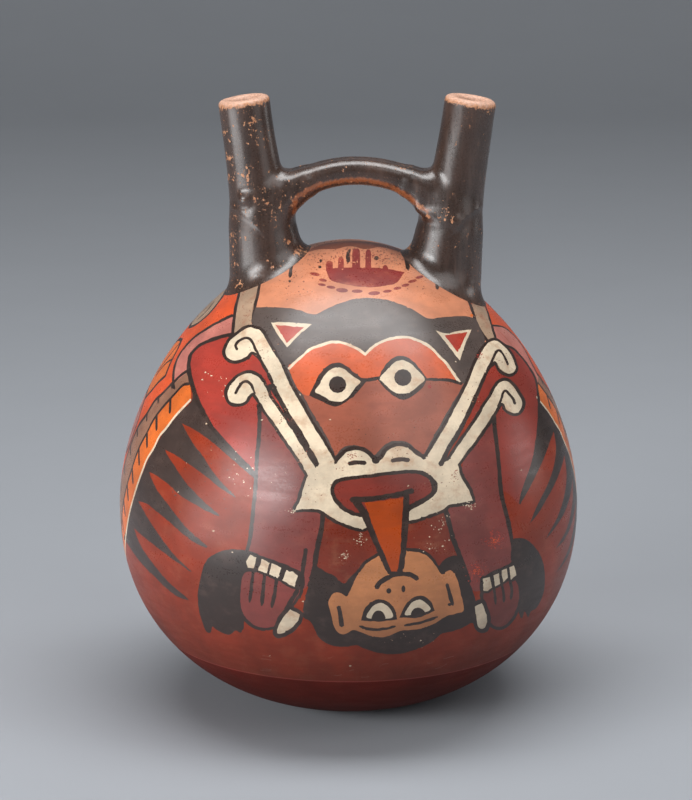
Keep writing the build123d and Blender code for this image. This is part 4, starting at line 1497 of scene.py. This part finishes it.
# Materials
def linear(rgb):
    """Colour of 0-255 screen values."""
    made = []
    for value in rgb:
        c = value / 255
        made.append(c / 12.92 if c <= 0.04045 else ((c + 0.055) / 1.055) ** 2.4)
    return (*made, 1.0)


class Graph:
    """A material's nodes, made one by one."""

    def __init__(self, name):
        self.material = bpy.data.materials.new(name)
        self.material.use_nodes = True
        self.tree = self.material.node_tree
        self.shader = self.tree.nodes["Principled BSDF"]
        self.spot = self.node("ShaderNodeTexCoord").outputs["Object"]

    def node(self, kind, **settings):
        """A new node with these settings."""
        made = self.tree.nodes.new(kind)
        for key, value in settings.items():
            setattr(made, key, value)
        return made

    def put(self, socket, value):
        """Links another node's output to a socket, or sets its value."""
        if isinstance(value, bpy.types.NodeSocket):
            self.tree.links.new(value, socket)
        else:
            socket.default_value = value

    def feed(self, made, **inputs):
        """Feeds a node's inputs by name, with _ for a space."""
        for key, value in inputs.items():
            self.put(made.inputs[key.replace("_", " ")], value)
        return made

    def noise(self, steps, detail, rough, warp=0.0):
        """Noise with this many steps for each millimetre along x, y and z."""
        place = self.node("ShaderNodeMapping")
        self.feed(place, Vector=self.spot, Scale=[s / MM for s in steps])
        made = self.node("ShaderNodeTexNoise")
        self.feed(made, Vector=place.outputs[0], Scale=1.0, Detail=detail, Roughness=rough, Distortion=warp)
        return made.outputs["Fac"]

    def ramp(self, value, low, high, start=0.0, end=1.0):
        """A smooth step from start to end as a value goes from low to high."""
        made = self.node("ShaderNodeMapRange", interpolation_type="SMOOTHSTEP")
        self.feed(made, Value=value, From_Min=low, From_Max=high, To_Min=start, To_Max=end)
        return made.outputs[0]

    def math(self, kind, a, b):
        """One sum of two values."""
        made = self.node("ShaderNodeMath", operation=kind)
        self.put(made.inputs[0], a)
        self.put(made.inputs[1], b)
        return made.outputs[0]

    def add(self, a, b, share=1.0):
        """The first value and a share of the second."""
        return self.math("ADD", a, b if share == 1.0 else self.math("MULTIPLY", b, share))

    def weigh(self, a, share_a, b, share_b):
        """A share of each of two values, added."""
        return self.add(self.math("MULTIPLY", a, share_a), b, share_b)

    def mix(self, share, a, b):
        """A colour between two, by a share. The node's colour sockets are 6, 7 and output 2."""
        made = self.node("ShaderNodeMix", data_type="RGBA")
        for number, value in ((0, share), (6, a), (7, b)):
            self.put(made.inputs[number], value)
        return made.outputs[2]

    def attribute(self, name):
        """A number that the mesh holds for each point."""
        return self.node("ShaderNodeAttribute", attribute_name=name).outputs["Fac"]

    def bump(self, height, strength, distance):
        """Fine relief."""
        made = self.feed(self.node("ShaderNodeBump"), Height=height, Strength=strength, Distance=distance)
        self.put(self.shader.inputs["Normal"], made.outputs[0])

    def finish(self, colour, rough, specular):
        """The material, with its surface set."""
        self.feed(self.shader, Base_Color=colour, Roughness=rough, Specular_IOR_Level=specular)
        return self.material


def shade(rgb, gain):
    """A screen colour made darker or lighter."""
    return linear([min(255, max(0, c * gain)) for c in rgb])


def slip_material(name, rgb, under, wear, soil):
    """Burnished slip: cloudy brushing, fine grain, worn spots that show what lies under it, and painted
    shade towards the foot.
    """
    g = Graph(name)
    cloud, streak, grain = g.noise(*SLIP_CLOUD), g.noise(*SLIP_STREAK), g.noise(*SLIP_GRAIN)
    patch, chip, smudge = g.noise(*SLIP_PATCH), g.noise(*SLIP_CHIP), g.noise(*SLIP_SMUDGE)
    colour = g.mix(g.ramp(cloud, 0.32, 0.68), shade(rgb, 0.9), shade(rgb, 1.09))
    colour = g.mix(g.ramp(streak, 0.42, 0.7, 0.0, 0.35), colour, shade(rgb, 0.88))
    colour = g.mix(g.ramp(grain, 0.55, 0.8, 0.0, 0.3), colour, shade(rgb, 1.16))
    colour = g.mix(g.ramp(smudge, 0.48, 0.72, 0.0, soil), colour, linear(under))
    chipped = g.ramp(g.add(chip, patch, 0.35), 1.12 - wear, 1.15 - wear)
    colour = g.mix(chipped, colour, linear(under))
    level = g.feed(g.node("ShaderNodeSeparateXYZ"), Vector=g.spot).outputs["Z"]
    # Painted shade: the colour darkens towards the foot, by height
    colour = g.mix(g.ramp(level, *SHADE_AND_DULL_SPAN, FOOT_SHADE, 0.0), colour, linear(PAINTED_SHADE))
    rough = g.ramp(g.weigh(streak, 0.5, grain, 0.5), 0.3, 0.7, 0.25, 0.38)
    rough = g.add(rough, chipped, 0.25)
    rough = g.add(rough, g.ramp(level, *SHADE_AND_DULL_SPAN, FOOT_DULL, 0.0))
    g.bump(g.add(g.weigh(streak, 0.6, grain, 0.25), chipped, -0.8), 0.1, 0.00012)
    return g.finish(colour, rough, LOW_SHEEN.get(name, SLIP_SHEEN))


def clay_material(name, rgb):
    """Fired clay under the slip: sandy, with dark grains."""
    g = Graph(name)
    cloud, grain = g.noise(*CLAY_CLOUD), g.noise(*CLAY_GRAIN)
    colour = g.mix(g.ramp(cloud, 0.3, 0.7), shade(rgb, 0.88), shade(rgb, 1.08))
    colour = g.mix(g.ramp(grain, 0.6, 0.75, 0.0, 0.6), colour, shade(rgb, 0.7))
    g.bump(grain, 0.4, 0.00025)
    return g.finish(colour, g.ramp(grain, 0.3, 0.7, 0.7, 0.9), CLAY_SHEEN)


def coat_material(name, rgb, clay):
    """Thick black slip, worn through to the clay at the mouths, edges and the underside of the bridge."""
    g = Graph(name)
    cloud, streak, grain = g.noise(*COAT_CLOUD), g.noise(*COAT_STREAK), g.noise(*COAT_GRAIN)
    chip, patch, speck = g.noise(*COAT_CHIP), g.noise(*COAT_PATCH), g.noise(*COAT_SPECK)
    colour = g.mix(g.ramp(cloud, 0.3, 0.7), shade(rgb, 0.82), shade(rgb, 1.25))
    colour = g.mix(g.ramp(streak, 0.5, 0.75, 0.0, 0.5), colour, shade(rgb, 1.5))
    uneven = g.math("SUBTRACT", chip, 0.5)
    rub = g.add(g.attribute("rubbed"), uneven, 1.6)
    colour = g.mix(g.ramp(rub, 0.4, 0.95, 0.0, 0.9), colour, linear(RUBBED))
    likely = g.weigh(patch, 0.3, g.attribute("worn"), 0.34)
    specks = g.ramp(g.add(speck, likely, 0.55), 0.835, 0.865)
    chipped = g.math("MAXIMUM", g.ramp(g.add(chip, likely), 0.875, 0.895), specks)
    edge = g.add(g.attribute("bare"), uneven, 5.0)
    bare = g.ramp(edge, -0.25, 0.25, 1.0, 0.0)
    worn = g.math("MAXIMUM", chipped, bare)
    grit = g.ramp(grain, 0.35, 0.65)
    tan = g.mix(grit, linear(CHIP_DARK), linear(CHIP_PALE))
    pale = g.mix(grit, shade(clay, 0.9), shade(clay, 1.06))
    pale = g.mix(g.ramp(edge, -1.5, -0.1), pale, tan)
    colour = g.mix(worn, colour, g.mix(bare, tan, pale))
    rough = g.ramp(g.weigh(streak, 0.5, grain, 0.5), 0.3, 0.7, 0.23, 0.35)
    rough = g.add(rough, worn, 0.3)
    g.bump(g.math("SUBTRACT", g.weigh(streak, 0.7, grain, 0.3), worn), 0.28, 0.00018)
    return g.finish(colour, rough, COAT_SHEEN)


clay = clay_material("fired_clay", CLAY)
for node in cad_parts.values():
    if node.type == "MESH":
        for place in node.material_slots:
            place.material = clay

film = painted_film([slip_material("slip_" + name, *look) for name, look in SLIPS.items()])
coat = black_coat(coat_material("slip_coat", BLACK, MOUTH_CLAY))
for piece in (film, coat):
    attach(piece, "root")


# Floor, light and camera
FLOOR_FRONT, FLOOR_BACK, FLOOR_BEND, FLOOR_TOP, FLOOR_HALF, BEND_STEPS = -3.0, 1.2, 0.8, 4.0, 4.0, 12


def sweep(name, material):
    """A pale floor that curves up into a backdrop."""
    run = [(FLOOR_FRONT, 0.0), (FLOOR_BACK, 0.0)]
    for i in range(1, BEND_STEPS + 1):
        a = math.pi / 2 * i / BEND_STEPS
        run.append((FLOOR_BACK + FLOOR_BEND * math.sin(a), FLOOR_BEND - FLOOR_BEND * math.cos(a)))
    run.append((FLOOR_BACK + FLOOR_BEND, FLOOR_TOP))
    places = [(x, y, z) for y, z in run for x in (-FLOOR_HALF, FLOOR_HALF)]
    faces = [(2 * i, 2 * i + 1, 2 * i + 3, 2 * i + 2) for i in range(len(run) - 1)]
    mesh = bpy.data.meshes.new(name)
    mesh.from_pydata(places, [], faces)
    mesh.polygons.foreach_set("use_smooth", np.ones(len(faces), bool))
    mesh.materials.append(material)
    made = bpy.data.objects.new(name, mesh)
    bpy.context.collection.objects.link(made)
    return made


def floor_material(name):
    """Plain matt paper with the least cloudiness."""
    g = Graph(name)
    return g.finish(g.mix(g.noise(*FLOOR_CLOUD), shade(FLOOR, 0.99), shade(FLOOR, 1.01)), 0.85, FLOOR_SHEEN)


floor = sweep("floor", floor_material("pale_floor"))


def softbox(name, place, aim, wide, high, power):
    """A rectangular lamp turned towards a place."""
    lamp = bpy.data.lights.new(name, "AREA")
    lamp.shape, lamp.size, lamp.size_y, lamp.energy = "RECTANGLE", wide, high, power
    made = bpy.data.objects.new(name, lamp)
    made.location = place
    made.rotation_mode = "QUATERNION"
    made.rotation_quaternion = (Vector(aim) - Vector(place)).to_track_quat("-Z", "Y")
    bpy.context.collection.objects.link(made)


# Place and aim in metres, width, height and watts
CENTRE = (0, 0, 0.09)
LAMPS = {
    "key": ((-1.97, -1.70, 0.89), CENTRE, 1.80, 0.74, 45.0),
    "low": ((-0.30, -0.18, 0.066), (-0.035, 0, 0.15), 0.25, 0.11, 0.34),
    "top": ((0.06, -0.03, 1.1), (0.06, 0, 0.09), 1.2, 0.46, 11.2),
    "fill": ((0.62, -0.60, 0.80), CENTRE, 0.9, 0.8, 3.1),
    "side": ((2.15, -1.49, 0.38), CENTRE, 1.6, 0.7, 2.8),
    "edge": ((2.52, 0.63, 0.42), CENTRE, 0.88, 0.88, 4.2),
}
SKY = 0.07
for name, lamp in LAMPS.items():
    softbox(name, *lamp)
scene = bpy.context.scene
scene.world = bpy.data.worlds.new("studio")
scene.world.use_nodes = True
sky = scene.world.node_tree.nodes["Background"]
sky.inputs["Color"].default_value = (1, 1, 1, 1)
sky.inputs["Strength"].default_value = SKY
scene.view_settings.view_transform = "Standard"

lens = bpy.data.cameras.new("camera")
lens.sensor_width, lens.lens, lens.clip_end = SENSOR, FOCAL * SENSOR / LONG_SIDE, 50
camera = bpy.data.objects.new("camera", lens)
camera.location = (
    (MIDDLE_COLUMN - AXIS_COLUMN) * DISTANCE / FOCAL * MM,
    -DISTANCE * math.cos(TILT) * MM,
    (TARGET + DISTANCE * math.sin(TILT)) * MM,
)
camera.rotation_euler = (math.pi / 2 - TILT, 0, 0)
bpy.context.collection.objects.link(camera)
scene.camera = camera
